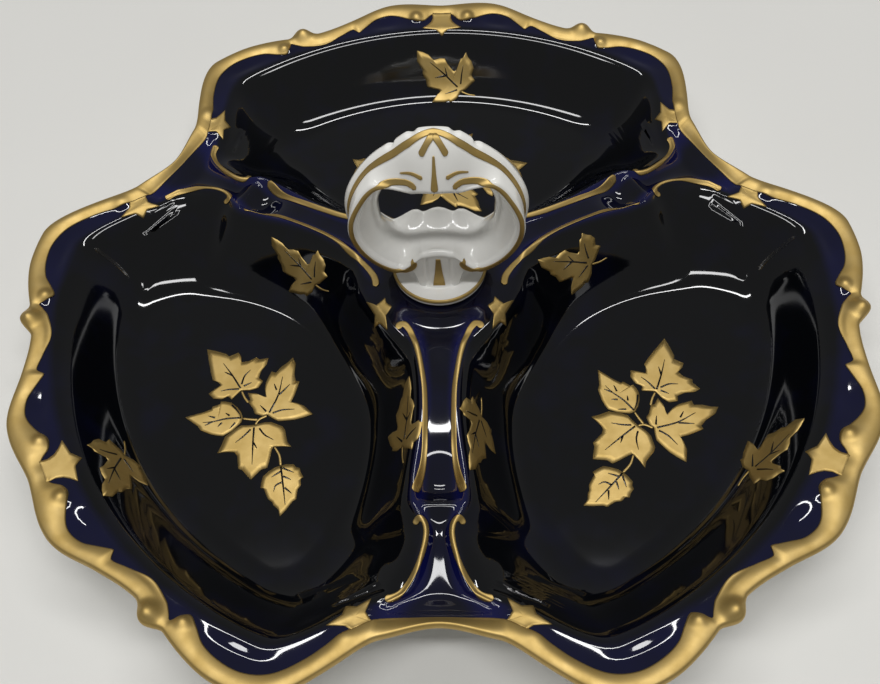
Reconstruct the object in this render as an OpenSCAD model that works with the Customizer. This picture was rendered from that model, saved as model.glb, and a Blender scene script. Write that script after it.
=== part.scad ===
// Three-lobed porcelain serving dish with a screwed-on loop handle.
// Millimetres. The table is z = 0 and the middle of the dish's outline is on the z axis.

/* [Dish] */
// Distance from the hub axis to the crown of each lobe
lobe_r = 162; // [152:1:175]
// Distance from the hub axis to the rim at each divider
notch_r = 131; // [122:1:138]
// Height of the rim above the table
rim_z = 33; // [28:1:42]
// Thickness of the porcelain
wall = 4.5; // [3.5:0.5:6]
// Width of the flange between a well and the lip
flange_w = 14.5; // [12:0.5:18]
// Drop of the flange towards the well
flange_dip = 1; // [0.5:0.5:4]

/* [Scrolled edge] */
// Height of the rolled edge above the flange
roll_h = 1; // [0.5:0.5:3]
// Half the width of the rolled edge
roll_w = 4.5; // [3:0.5:6]
// Swell of the outline beside the crown of a lobe
crown_swell = 2.5; // [0.5:0.5:4]
// Depth of the hollow between two scrolls
scroll_hollow = 7; // [3:0.5:9]
// Swell of the outline beside each notch
ear_swell = 1.2; // [0:0.1:2]
// Radius of the bead in each hollow
bead_r = 3.6; // [2.5:0.1:5]

/* [Wells] */
// Distance from the hub axis to the centre of a well's round side
well_c = 114; // [108:1:118]
// Radius of the round side of a well's floor
well_r = 67; // [60:1:70]
// Run of the outer wall, from the floor to the flange
wall_run = 27; // [22:1:32]
// Blend length of the well's corners
corner_blend = 10; // [6:1:24]

/* [Foot rings] */
// Height of each foot ring
foot_h = 3; // [2:0.5:5]
// Width of each foot ring
foot_w = 3.5; // [2.5:0.5:5]
// Distance from the edge of the floor in to the foot ring
foot_inset = 6; // [4:1:12]
// Corner radius of each foot ring
foot_corner = 12; // [8:1:18]

/* [Dividers] */
// Half the spacing of a divider's ribs at its waist
waist_half = 5.8; // [4.5:0.1:8]
// Half the spacing of the ribs where they meet the hub
root_half = 14; // [11:0.5:16]
// Half the spacing of the ribs where they meet the rim
tail_half = 19; // [15:0.5:23]
// Height of each rib above the divider
rib_h = 1.2; // [0.5:0.1:2]
// Half the width of each rib
rib_w = 2.6; // [1.8:0.1:4]
// Distance from the hub axis to the moulded collar
collar_p = 91; // [84:1:98]
// Height of the collar
collar_h = 2; // [0.5:0.5:4]
// Depth of the trough between the ribs
trough = 2.2; // [1:0.1:3]
// Extra depth of the trough beside the collar
trough_drop = 3; // [1:0.5:4]

/* [Hub] */
// Height of the handle's seat above the table
hub_z = 40; // [36:1:50]
// Radius of the flat seat
seat_r = 19.5; // [18:0.5:22]
// Distance from the hub axis to the edge of the hub
hub_edge = 27; // [25:0.5:31]
// Thickness of the hub under the handle
hub_wall = 8; // [6:0.5:12]

/* [Handle] */
// Radius of the loop to its outer crown at the sides
loop_r = 31.5; // [29:0.5:36]
// Rise of the loop's peak above that radius
peak_h = 2.5; // [0:0.5:5]
// Height of the loop's centre above the handle's foot
loop_rise = 38; // [35:0.5:46]
// Depth of the band above the sides, from front to back
band_high = 15.2; // [13:0.2:20]
// Depth of the band below the sides, from front to back
band_low = 19.4; // [18:0.2:22]
// Distance from the loop's centre to its rolled edges above the sides
mouth_high = 23.6; // [22:0.2:26]
// Distance from the loop's centre to its rolled edges below the sides
mouth_low = 28.6; // [27:0.2:31]
// Inner radius of the loop half way through it
throat_r = 20; // [17:0.5:22]
// Thickness of the rolled edges
edge_t = 3.6; // [3:0.2:5]
// Reach of the hood at the top, below the rolled edges
hood = 6.6; // [5:0.2:8]
// Reach of the shell at the bottom, above the rolled edges
shell = 12.5; // [10:0.5:14]
// Radius of the handle's foot
foot_r = 17.4; // [16:0.2:19]
// Height of the upright edge of the foot
foot_edge = 3; // [2:0.1:4]
// Rise of the foot's domed top above its edge
foot_dome = 1.9; // [1:0.1:3]
// Depth of the neck under the shell, from front to back
neck_deep = 24; // [22:0.5:26]
// Width of the neck under the shell
neck_wide = 14.4; // [13:0.2:17]

/* [Fixing] */
// Diameter of the threaded stud
stud_d = 6; // [5:0.5:8]
// Clearance around the stud in the hub's bore
stud_gap = 1; // [0.3:0.1:1.5]
// Radius of the socket in the handle
socket_r = 5; // [4.5:0.1:6]
// Depth of the socket in the handle
socket_h = 11; // [9:0.5:12]
// Thickness of the cork washer under the handle
cork_t = 1; // [0.5:0.1:2]
// Radius of the cork washer under the handle
cork_r = 15.5; // [13:0.5:16]
// Thickness of the rubber washer under the hub
rubber_t = 1.5; // [1:0.1:3]
// Radius of the rubber washer and the metal washer
washer_r = 11; // [9:0.5:13]
// Thickness of the metal washer
washer_t = 1.6; // [1:0.1:2.5]
// Width of the nut across its flats
nut_af = 10; // [9:0.5:13]
// Height of the nut
nut_h = 5; // [4:0.5:8]
// Length of stud that shows under the nut
stud_tail = 3; // [1:0.5:6]

/* [Hidden] */
$fn = 96;

lobes = 3;
lobe_turn = 360 / lobes;
half_turn = lobe_turn / 2;
back_lobe = 90;
thread_gap = 0.05;
seat_cut = 0.4;
sunk = 1;

// Places of the edge's ornaments, in degrees from the axis of a lobe, and half the angles that they take up
swell_at = 7.5;
swell_span = 8;
hollow_at = 21.5;
hollow_span = 13.5;
bead_at = 24.4;
bead_span = 2.8;
ear_at = 37.5;
ear_span = 7;

// The lip sweeps in to the notch on a steep curve, and on a slow one that has this share of it
steep_from = 40;
steep_to = 53;
slow_from = 47;
slow_share = 0.25;

// Shares of the wall's run that the cove and the straight part of the wall end at
cove_end = 0.45;
straight_end = 0.8;

floor_z = foot_h + wall;
floor_out = lobe_r - flange_w - wall_run;
hub_drop = 1.5;
hub_fade = 8;
crest_blend = 10;
edge_round = 1.4;
lip_t = 4;

// Smooth step from 0 to 1, and a round bump of height 1 on -1 to 1
function clamp(t) = min(max(t, 0), 1);
function smooth(t) = let (c = clamp(t)) c * c * (3 - 2 * c);
function bump(t) = abs(t) < 1 ? (1 + cos(180 * t)) / 2 : 0;

// Larger and smaller of two lengths, blended over the length k
function smooth_max(a, b, k) = max(a, b) + k / 4 * pow(max(k - abs(a - b), 0) / k, 2);
function smooth_min(a, b, k) = -smooth_max(-a, -b, k);

// Curve through points [x, y], level at both ends
function slope(p, i) =
    i == 0 || i == len(p) - 1 ? 0 : (p[i + 1][1] - p[i - 1][1]) / (p[i + 1][0] - p[i - 1][0]);
function hermite(p, i, x) =
    let (h = p[i + 1][0] - p[i][0], t = clamp((x - p[i][0]) / h))
    smooth(t) * (p[i + 1][1] - p[i][1]) + p[i][1]
    + h * t * (1 - t) * ((1 - t) * slope(p, i) - t * slope(p, i + 1));
function curve(p, x, i = 0) =
    i == len(p) - 2 || x <= p[i + 1][0] ? hermite(p, i, x) : curve(p, x, i + 1);

function between(a, b, s) = a + (b - a) * s;

// Radius of the lip at the angle f from the axis of a lobe: crown, scrolls, bead, ear, then the notch
function sweep(f) =
    between(smooth((f - steep_from) / (steep_to - steep_from)),
            smooth((f - slow_from) / (half_turn - slow_from)), slow_share);
function lobe_outline(f) = between(lobe_r, notch_r, sweep(f));
function lip_r(f) =
    lobe_outline(f)
    + crown_swell * bump((f - swell_at) / swell_span)
    - scroll_hollow * bump((f - hollow_at) / hollow_span)
    + bead_r * bump((f - bead_at) / bead_span)
    + ear_swell * bump((f - ear_at) / ear_span);

// Radius where the flange meets the wall of the well; the flange narrows towards the notch
notch_flange = 4;
shoulder_lead = 1.5;
narrow_from = 40;
narrow_to = 58;
function shoulder_r(f) =
    lobe_outline(f + shoulder_lead)
    - between(flange_w, notch_flange, smooth((f - narrow_from) / (narrow_to - narrow_from)));

// Half the spacing of a divider's ribs at the distance p from the hub axis: wide at the hub, narrow at the
// waist, hooked out at the collar, drawn in behind it and flared at the tail
root_run = 6;
waist_p = 56;
hook_run = 7;
neck_run = 8;
flare_run = 6;
hook_half = 1.45 * waist_half;
tail_p = notch_r - notch_flange - 2;
rib_points = [[hub_edge - root_run, root_half],
              [hub_edge + root_run, between(waist_half, root_half, 0.3)],
              [waist_p, waist_half],
              [collar_p - hook_run, hook_half],
              [collar_p, hook_half],
              [collar_p + neck_run, 0.75 * waist_half],
              [collar_p + 2 * neck_run, 0.9 * waist_half],
              [tail_p - flare_run, between(waist_half, tail_half, 0.3)],
              [tail_p, tail_half]];
function rib_half(p) = curve(rib_points, p);

// Height of a divider's crest, and depth of the trough in it, at the distance p from the hub axis
crest_run = 10;
tail_drop = 4;
trough_run = 20;
function crest_z(p) =
    between(hub_z - hub_drop, rim_z, smooth((p - hub_edge) / (collar_p + crest_run - hub_edge)))
    - tail_drop * smooth((p - collar_p - crest_run) / (tail_p - collar_p - crest_run));
trough_points = [[hub_edge, 0],
                 [hub_edge + 2 * root_run, trough],
                 [collar_p - hook_run - trough_run, trough],
                 [collar_p - hook_run, trough + trough_drop],
                 [collar_p, trough / 2],
                 [collar_p + neck_run, trough],
                 [tail_p - flare_run, trough],
                 [tail_p, 0]];
function trough_z(p) = curve(trough_points, p);

// Share of the height that the wall has gained at the share t of its run
function wall_curve(t) =
    let (m = 2 / (1 + straight_end - cove_end))
    t < cove_end ? m * t * t / (2 * cove_end)
    : t < straight_end ? m * (t - cove_end / 2)
    : 1 - m * (1 - t) * (1 - t) / (2 * (1 - straight_end));

// Distance outside a well's floor, and distances left to the flange, the divider and the hub
function floor_gap(r, f) =
    smooth_max(norm([r * sin(f), r * cos(f) - well_c]) - well_r, r - floor_out, corner_blend);
function rim_gap(r, f) = shoulder_r(f) - r;
function rib_gap(r, f) = r * sin(half_turn - f) - rib_half(r * cos(half_turn - f));
function crest_gap(r, f) =
    smooth_min(smooth_min(rim_gap(r, f), rib_gap(r, f), crest_blend), r - hub_edge, crest_blend);

// Height of the crest that the wall climbs to: the nearest of flange, divider and hub counts most
function nearness(g) = 1 / pow(max(g, 0) + 1, 2);
function crest(r, f) =
    let (a = nearness(rim_gap(r, f)), b = nearness(rib_gap(r, f)), c = nearness(r - hub_edge))
    (a * (rim_z - flange_dip) + b * crest_z(r * cos(half_turn - f)) + c * (hub_z - hub_drop)) / (a + b + c);

// Plain wall from the floor to the crest, moved out by the given length
function well_z(r, f, out) =
    let (d = max(floor_gap(r, f), 0), g = max(crest_gap(r, f), 0))
    floor_z + (crest(r, f) - floor_z) * wall_curve(d <= out ? 0 : (d - out) / (d + g));

// Relief of a divider: two ribs, the trough between them and the collar across
collar_run = 5;
function divider_relief(r, f) =
    let (p = r * cos(half_turn - f), e = r * sin(half_turn - f), w = rib_half(p))
    let (ends = smooth((p - hub_edge) / root_run) * smooth((tail_p + notch_flange - p) / flare_run))
    rib_h * bump((e - w) / rib_w) * ends
    - trough_z(p) * (e < w ? 1 - pow(e / w, 2) : 0)
    + collar_h * bump((p - collar_p) / collar_run) * bump(e / (1.5 * hook_half));

// Height of the glazed face inside the shoulder, of the bead, and then of the face anywhere
function inner_z(r, f) =
    r <= hub_edge ? hub_z - hub_drop * smooth((r - seat_r) / (hub_edge - seat_r))
    : well_z(r, f, 0) + divider_relief(r, f);
bead_h = 0.7 * bead_r;
function bead_z(r, f) =
    let (c = lip_r(bead_at) - bead_r)
    bead_h * bump(norm([r * cos(f - bead_at) - c, r * sin(f - bead_at)]) / (1.5 * bead_r));
function roll_z(r, f) = roll_h * bump((lip_r(f) - r) / roll_w - 0.8);
function top_z(r, f) =
    let (shoulder = shoulder_r(f), s = (r - shoulder) / (lip_r(f) - shoulder))
    s <= 0 ? inner_z(r, f)
    : between(inner_z(shoulder, f), rim_z, smooth(s)) + roll_z(r, f) * smooth(3 * s) + bead_z(r, f);

// Height of the white underside: the wall's thickness below the face, thicker under the handle
under_out = 0.7 * wall;
function under_z(r, f) =
    r <= hub_edge ? hub_z - hub_wall
    : min(well_z(min(r, shoulder_r(f)), f, under_out), top_z(r, f)) - wall
      - (hub_wall - wall) * smooth((hub_edge + hub_fade - r) / hub_fade);

// Columns of the dish's grid, as degrees from the lobe's axis at the lip. Up to the end of a rib's tail they
// fan out evenly, and from there to the divider they follow its ribs, at shares of the ribs' half spacing.
lobe_columns = [0, 2.5, 5, 7.5, 10.5, 14, 17.5, 21, 23, 24.6, 26.2, 29, 33, 37, 41, 44.5];
rib_columns = [1.35, 1.18, 1, 0.82, 0.55, 0.27, 0];
tail_f = 48;
widest = 0.7;
function rib_f(r, q) = half_turn - asin(min(q * rib_half(r) / r, widest));
function lobe_f(r, f) = f * rib_f(r, rib_columns[0]) / tail_f;
half_columns = concat([for (f = lobe_columns) function (r) lobe_f(r, f)],
                      [for (q = rib_columns) function (r) rib_f(r, q)]);
last = len(half_columns) - 1;
columns = [for (k = [0 : lobes - 1])
    let (a = back_lobe + k * lobe_turn)
    each concat([for (i = [last - 1 : -1 : 1]) [a, -1, half_columns[i]]],
                [for (i = [0 : last]) [a, 1, half_columns[i]]])];

// Rings of the grid: shares of the way over the hub, from the hub to the shoulder, and over the flange
hub_rings = [0.4, seat_r / hub_edge, 0.87];
face_rings = [0, 0.03, 0.07, 0.12, 0.17, 0.22, 0.29, 0.37, 0.45, 0.53, 0.59, 0.64, 0.69, 0.74, 0.79, 0.83,
              0.87, 0.91, 0.95, 1];
flange_rings = [0.25, 0.5, 0.75, 1];
under_rings = [1, 0.94, 0.88, 0.82, 0.76, 0.69, 0.58, 0.45, 0.32, 0.21, 0.13, 0.06, 0.02, 0];
// Point of one column where its radius, which depends on its angle, and its height are given by functions.
// The angle depends on the radius in turn, so it is worked out twice.
function column_point(c, radius, z) =
    let (f0 = c[2](lobe_r), f1 = c[2](radius(f0)), r = radius(f1), f = c[2](r), a = c[0] + c[1] * f)
    [r * cos(a), r * sin(a), z(r, f)];
function ring_of(radius, z) = [for (c = columns) column_point(c, radius, z)];
function face_r(f, s) = between(hub_edge, shoulder_r(f), s);

function dish_rings() = concat(
    [for (s = hub_rings) ring_of(function (f) hub_edge * s, function (r, f) top_z(r, f))],
    [for (s = face_rings) ring_of(function (f) face_r(f, s), function (r, f) top_z(r, f))],
    [for (s = flange_rings)
        ring_of(function (f) between(shoulder_r(f), lip_r(f) - edge_round, s), function (r, f) top_z(r, f))],
    [ring_of(function (f) lip_r(f), function (r, f) top_z(r - edge_round, f) - lip_t / 2)],
    [ring_of(function (f) lip_r(f) - edge_round, function (r, f) top_z(r, f) - lip_t)],
    [for (s = under_rings) ring_of(function (f) face_r(f, s), function (r, f) under_z(r, f))],
    [ring_of(function (f) hub_edge * 0.5, function (r, f) under_z(r, f))]);

// Closed solid from rings of points, with a point at the middle of the first and of the last ring.
// Each four-sided patch is split along its shorter diagonal.
module solid_of_rings(rings, first, last) {
    n = len(rings[0]);
    m = len(rings);
    points = concat([first], [for (ring = rings) each ring], [last]);
    polyhedron(
        points = points,
        faces = concat(
            [for (i = [0 : n - 1]) [0, 1 + (i + 1) % n, 1 + i]],
            [for (k = [0 : m - 2], i = [0 : n - 1])
                let (a = 1 + k * n + i, b = 1 + k * n + (i + 1) % n, c = a + n, d = b + n)
                each norm(points[a] - points[d]) < norm(points[b] - points[c])
                    ? [[a, b, d], [a, d, c]] : [[a, b, c], [b, d, c]]],
            [for (i = [0 : n - 1]) [1 + m * n, 1 + (m - 1) * n + i, 1 + (m - 1) * n + (i + 1) % n]]));
}

// Plan of a well's floor drawn in by the given length: two arcs joined by rounded corners
module well_plan(inset) {
    round_r = well_r - inset;
    out_r = floor_out - inset;
    c_r = max(foot_corner - inset, 1);
    reach = out_r - c_r;
    swing = round_r - c_r;
    cy = (reach * reach - swing * swing + well_c * well_c) / (2 * well_c);
    cx = sqrt(reach * reach - cy * cy);
    for (side = [-1, 1])
        translate([side * cx, cy])
            circle(c_r);
    intersection() {
        translate([0, well_c]) circle(round_r);
        circle(out_r);
        polygon([[0, -well_r], [cx + round_r * (cx / swing), cy + round_r * (cy - well_c) / swing],
                 [cx * out_r / reach, cy * out_r / reach], [0, 2 * out_r],
                 [-cx * out_r / reach, cy * out_r / reach],
                 [-cx - round_r * (cx / swing), cy + round_r * (cy - well_c) / swing]]);
    }
}

module foot_rings() {
    for (k = [0 : lobes - 1])
        rotate(k * lobe_turn)
            linear_extrude(foot_h + sunk)
                difference() {
                    well_plan(foot_inset);
                    well_plan(foot_inset + foot_w);
                }
}

// The middle of the outline lies half way between the back lobe's crown and the front lobes
back_reach = max([for (f = [0 : 0.5 : half_turn]) lip_r(f) * cos(f)]);
front_reach = max([for (f = [0 : 0.5 : half_turn]) lip_r(f) * sin(f + half_turn / 2)]);
hub_y = (front_reach - back_reach) / 2;

module dish() {
    color("#10123a")
        translate([0, hub_y, 0])
            difference() {
                union() {
                    solid_of_rings(dish_rings(), [0, 0, hub_z], [0, 0, hub_z - hub_wall]);
                    foot_rings();
                }
                cylinder(h = 2 * hub_z, d = stud_d + 2 * stud_gap);
                cylinder(h = hub_z - hub_wall + seat_cut, r = washer_r + sunk);
            }
}

handle_z = hub_z + cork_t;
loop_z = handle_z + loop_rise;

// Outline of the loop's crown at the angle u from its top: a peak, drawn-in shoulders, a belly, and two
// small nicks on each side of the peak
pinch = 1.8;
belly = 0.7;
nick = 0.7;
nick_span = 4;
nicks_at = [12, 27];
function from_top(u) = abs(u > 180 ? u - 360 : u);
crown_points = [[0, loop_r + peak_h], [nicks_at[0], loop_r + 0.76 * peak_h],
                [nicks_at[1], loop_r - pinch / 2], [60, loop_r - pinch], [90, loop_r],
                [118, loop_r + belly], [180, loop_r - pinch]];
function outline_r(u) =
    curve(crown_points, from_top(u)) - nick * bump((from_top(u) - nicks_at[0]) / nick_span)
    - nick * bump((from_top(u) - nicks_at[1]) / nick_span);

// The neck under the shell is a part of the loop whose crown reaches down into the foot
neck_sunk = 1.5;
neck_end = loop_rise - neck_sunk;
neck_half = asin(neck_wide / 2 / neck_end);
neck_fade = 4.5;
neck_round = 1.5;
function neck_share(u) = 1 - smooth((180 - from_top(u) - neck_half) / neck_fade);
function crown_r(u) = between(outline_r(u), neck_end, neck_share(u));

// Half the spacing of the two ridges on the crown, and half the depth of the band to its rolled edges
ridge_points = [[0, 1.4], [25, 2], [60, 3.2], [90, 4.5], [180, 4.5]];
function ridge_half(u) =
    between(curve(ridge_points, from_top(u)),
            neck_deep / 2 - neck_round * pow((180 - from_top(u)) / neck_half, 2), neck_share(u));
shell_slim = 0.8;
depth_points = [[0, between(band_high, band_low, 0.86) / 2], [42, band_high / 2], [95, band_low / 2],
                [140, band_low / 2], [180, band_low / 2 - shell_slim]];
function band_half(u) = curve(depth_points, from_top(u));

// Distance from the loop's centre to its rolled edges: the hood is drawn in at the top, and at the bottom
// the shell, whose lip has a high middle lobe and a lower one at each side
mouth_points = [[0, mouth_high], [42, mouth_high], [80, between(mouth_high, mouth_low, 0.65)],
                [100, mouth_low], [180, mouth_low + belly / 2]];
lip_low = mouth_low - shell;
lip_points = [[0, lip_low], [9, lip_low + 1], [17, lip_low + 3.3], [24, lip_low + 3.2], [30, lip_low + 4.2]];
hood_half = 31;
hood_fade = 14;
shell_half = 28;
shell_fade = 10;
function rolled_r(u) =
    let (t = from_top(u), b = 180 - t)
    between(curve(lip_points, b),
            curve(mouth_points, t) - hood * (1 - smooth((t - hood_half) / hood_fade)),
            smooth((b - shell_half) / shell_fade));

// Share of the hood and of the shell at the angle u, and the angle at which the rolled edge takes over
// from the outer face
function hood_share(u) = 1 - smooth((from_top(u) - hood_half) / hood_fade);
function shell_share(u) = 1 - smooth((180 - from_top(u) - shell_half) / hood_fade);
roll_late = 25;
function roll_from(u) = between(roll_late, 90, (1 - hood_share(u)) * (1 - shell_share(u)));

// Outer face of the loop at the share s of its way from a ridge to the rolled edge: roofed, and upright
// under the shell
ridge_fall = 0.4;
upright_from = 0.3;
function roof_y(s, u) =
    let (end = band_half(u) + edge_t / 2 * cos(roll_from(u)))
    between(between(ridge_half(u), end, s), end, shell_share(u) * smooth(s / upright_from));
function roof_r(s, u) =
    between(crown_r(u) - ridge_fall * curve(ridge_points, from_top(u)),
            rolled_r(u) + edge_t / 2 * sin(roll_from(u)), pow(s, 1.5));

// Inner face of the loop: waisted half way through, and a flat bowl between the lips of the shell
throat_points = [[0, throat_r], [95, throat_r], [140, throat_r + 2 * pinch], [180, throat_r + belly / 2]];
function throat(u) = curve(throat_points, from_top(u));
waist_power = 2.2;
bowl_power = 3.5;
function inner_r(y, u) =
    between(throat(u), rolled_r(u) - edge_t / 2,
            pow(abs(y) / band_half(u), between(waist_power, bowl_power, shell_share(u))));

loop_columns = 96;
inner_steps = 8;
edge_steps = 4;
face_stops = [1, 0.62, 0.3, 0];
function roll_arc(i, u) = between(roll_from(u), -90, i / edge_steps);
function loop_section(u) = let (h = band_half(u)) concat(
    [for (s = face_stops) [roof_r(s, u), -roof_y(s, u)]],
    [[crown_r(u), 0]],
    [for (i = [len(face_stops) - 1 : -1 : 0]) [roof_r(face_stops[i], u), roof_y(face_stops[i], u)]],
    [for (i = [1 : edge_steps - 1]) let (a = roll_arc(i, u))
        [rolled_r(u) + edge_t / 2 * sin(a), h + edge_t / 2 * cos(a)]],
    [for (i = [0 : inner_steps]) let (y = between(h, -h, i / inner_steps)) [inner_r(y, u), y]],
    [for (i = [edge_steps - 1 : -1 : 1]) let (a = roll_arc(i, u))
        [rolled_r(u) + edge_t / 2 * sin(a), -h - edge_t / 2 * cos(a)]]);

// Closed loop swept through its sections, one section for each step of the turn
module loop() {
    rings = [for (i = [0 : loop_columns - 1])
        let (u = 360 * i / loop_columns)
        [for (q = loop_section(u)) [q[0] * sin(u), q[1], loop_z + q[0] * cos(u)]]];
    n = len(rings[0]);
    m = loop_columns;
    polyhedron(
        points = [for (ring = rings) each ring],
        faces = [for (k = [0 : m - 1], i = [0 : n - 1])
            let (next = (k + 1) % m * n, j = (i + 1) % n)
            each [[k * n + i, k * n + j, next + i], [k * n + j, next + j, next + i]]]);
}

// Round foot with an upright edge and a low domed top
foot_round = 1;
dome_steps = 6;
module handle_foot() {
    dome_r = foot_r - foot_round;
    rotate_extrude()
        polygon(concat(
            [[0, 0], [dome_r, 0], [foot_r, foot_round], [foot_r, foot_edge - foot_round]],
            [for (i = [0 : dome_steps])
                [dome_r * (1 - i / dome_steps), foot_edge + foot_dome * (1 - pow(1 - i / dome_steps, 2))]]));
}

module handle() {
    color("#f4f3ef")
        translate([0, hub_y, 0])
            difference() {
                union() {
                    loop();
                    translate([0, 0, handle_z])
                        handle_foot();
                }
                translate([0, 0, handle_z - sunk])
                    cylinder(h = socket_h + sunk, r = socket_r);
            }
}

// Stack under the hub, from the hub down: rubber washer, metal washer, nut, end of the stud
rubber_z = hub_z - hub_wall + seat_cut - rubber_t;
washer_z = rubber_z - washer_t;
nut_z = washer_z - nut_h;
stud_z = nut_z - stud_tail;
stud_top = handle_z + socket_h - 1;

module round_washer(r, hole_d, t) {
    linear_extrude(t)
        difference() {
            circle(r);
            circle(d = hole_d);
        }
}

module handle_stud() {
    color("#b8913f")
        translate([0, hub_y, stud_z])
            cylinder(h = stud_top - stud_z, d = stud_d);
}

module stud_cement() {
    color("#dcd6c8")
        translate([0, hub_y, handle_z])
            difference() {
                cylinder(h = socket_h, r = socket_r);
                translate([0, 0, -sunk])
                    cylinder(h = stud_top - handle_z + sunk, d = stud_d);
            }
}

module handle_washer() {
    color("#b58a5a")
        translate([0, hub_y, hub_z])
            round_washer(cork_r, stud_d + 2 * stud_gap, cork_t);
}

module hub_washer() {
    color("#2a2a2a")
        translate([0, hub_y, rubber_z])
            round_washer(washer_r, stud_d + 2 * stud_gap, rubber_t);
}

module nut_washer() {
    color("#c9a24a")
        translate([0, hub_y, washer_z])
            round_washer(washer_r, stud_d + stud_gap, washer_t);
}

module stud_nut() {
    color("#c9a24a")
        translate([0, hub_y, nut_z])
            difference() {
                cylinder(h = nut_h, d = nut_af / cos(30), $fn = 6);
                translate([0, 0, -sunk])
                    cylinder(h = nut_h + 2 * sunk, d = stud_d + 2 * thread_gap);
            }
}

dish();
handle();
handle_stud();
stud_cement();
handle_washer();
hub_washer();
nut_washer();
stud_nut();
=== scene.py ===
# %% [markdown]
# # A divided porcelain dish with a loop handle
# The real object is one moulded porcelain dish with three wells, glazed in cobalt blue and gilded, and a
# white porcelain handle that is screwed to its hub. The CAD frame holds the sizes and the screw fixing.
# This lesson builds the finer skin of the porcelain from the same formulas, and then the gilding on it.

import bmesh
import bpy
import numpy as np
from mathutils import Matrix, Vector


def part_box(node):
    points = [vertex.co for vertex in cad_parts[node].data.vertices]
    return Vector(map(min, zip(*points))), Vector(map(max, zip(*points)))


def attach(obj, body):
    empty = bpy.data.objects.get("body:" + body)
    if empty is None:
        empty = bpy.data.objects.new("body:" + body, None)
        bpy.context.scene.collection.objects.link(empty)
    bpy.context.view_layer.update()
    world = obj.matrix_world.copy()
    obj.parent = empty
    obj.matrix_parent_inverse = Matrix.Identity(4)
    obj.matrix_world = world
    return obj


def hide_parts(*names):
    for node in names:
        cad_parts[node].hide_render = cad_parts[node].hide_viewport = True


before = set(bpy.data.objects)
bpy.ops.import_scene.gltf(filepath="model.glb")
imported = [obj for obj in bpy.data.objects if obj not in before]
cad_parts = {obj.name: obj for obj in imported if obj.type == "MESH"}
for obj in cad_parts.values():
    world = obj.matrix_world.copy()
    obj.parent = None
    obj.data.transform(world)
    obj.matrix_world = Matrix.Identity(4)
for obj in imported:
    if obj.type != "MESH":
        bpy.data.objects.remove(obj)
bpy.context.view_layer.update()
MM = 0.001
stud_low, stud_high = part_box("handle_stud")
HUB = np.array([(stud_low.x + stud_high.x) / 2, (stud_low.y + stud_high.y) / 2, 0]) / MM
print("nodes", sorted(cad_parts), "hub axis at", HUB.round(2), "mm")

# %% [markdown]
# ## Small tools for shapes
# Every surface below is a formula of two numbers, worked out for a whole grid at once. These few functions
# are its words: a smooth step, a round hill, a soft maximum, and a curve through given points.


# %% Shape words
def between(a, b, share):
    """The value at a share of the way from a to b."""
    return a + (b - a) * share


def smooth(t):
    """Step from 0 to 1 that starts and ends level: 3 t^2 - 2 t^3 with t held between 0 and 1."""
    c = np.clip(t, 0, 1)
    return c * c * (3 - 2 * c)


def bump(t):
    """Round hill of height 1 between -1 and 1: half of one plus the cosine of half a turn times t."""
    return (1 + np.cos(np.pi * np.clip(t, -1, 1))) / 2


def soft_max(a, b, k):
    """The larger of a and b, with the corner between them rounded over the length k."""
    return np.maximum(a, b) + k / 4 * (np.maximum(k - np.abs(a - b), 0) / k) ** 2


def hermite(px, py, slopes, x):
    """Cubic pieces that pass through the points with the given slopes; outside them the end values hold."""
    i = np.clip(np.searchsorted(px, x, side="left") - 1, 0, len(px) - 2)
    h = px[i + 1] - px[i]
    t = np.clip((x - px[i]) / h, 0, 1)
    step = smooth(t)
    return step * (py[i + 1] - py[i]) + py[i] + h * t * (1 - t) * ((1 - t) * slopes[i] - t * slopes[i + 1])


def curve(points, x):
    """Curve through points (x, y), level at both ends; each inner slope comes from its two neighbours."""
    px, py = np.asarray(points, float).T
    slopes = np.zeros(len(px))
    slopes[1:-1] = (py[2:] - py[:-2]) / (px[2:] - px[:-2])
    return hermite(px, py, slopes, np.asarray(x, float))


def sind(a):
    """Sine of an angle in degrees."""
    return np.sin(np.radians(a))


def cosd(a):
    """Cosine of an angle in degrees."""
    return np.cos(np.radians(a))


def polar(r, a, z):
    """Points at the distance r and the angle a from an upright axis, at the height z."""
    return np.stack(np.broadcast_arrays(r * cosd(a), r * sind(a), z), -1)


print("a curve through three points, half way:", curve([(0, 0), (1, 2), (2, 0)], 0.5))

# %% [markdown]
# ## From a grid of points to a piece
# A grid becomes a mesh by joining each point to its neighbours with four-sided faces. A grid that closes on
# itself joins its last row to its first. Points that meet, as at a pole, are merged. Gilding is an open
# sheet that follows the glaze, so a Solidify modifier gives it a back and an edge.


# %% Mesh tools
MERGE = 1e-7


def grid_faces(n, m, close_n, close_m):
    """Corner numbers of the faces of an n by m grid, row after row, wrapped round where the grid closes."""
    i = np.arange(n if close_n else n - 1)[:, None]
    j = np.arange(m if close_m else m - 1)[None, :]
    k, l = (i + 1) % n, (j + 1) % m
    return np.stack([i * m + j, i * m + l, k * m + l, k * m + j], -1).reshape(-1, 4)


def put(name, data):
    """Makes an object from its data and puts it into the scene."""
    made = bpy.data.objects.new(name, data)
    bpy.context.scene.collection.objects.link(made)
    return made


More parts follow.
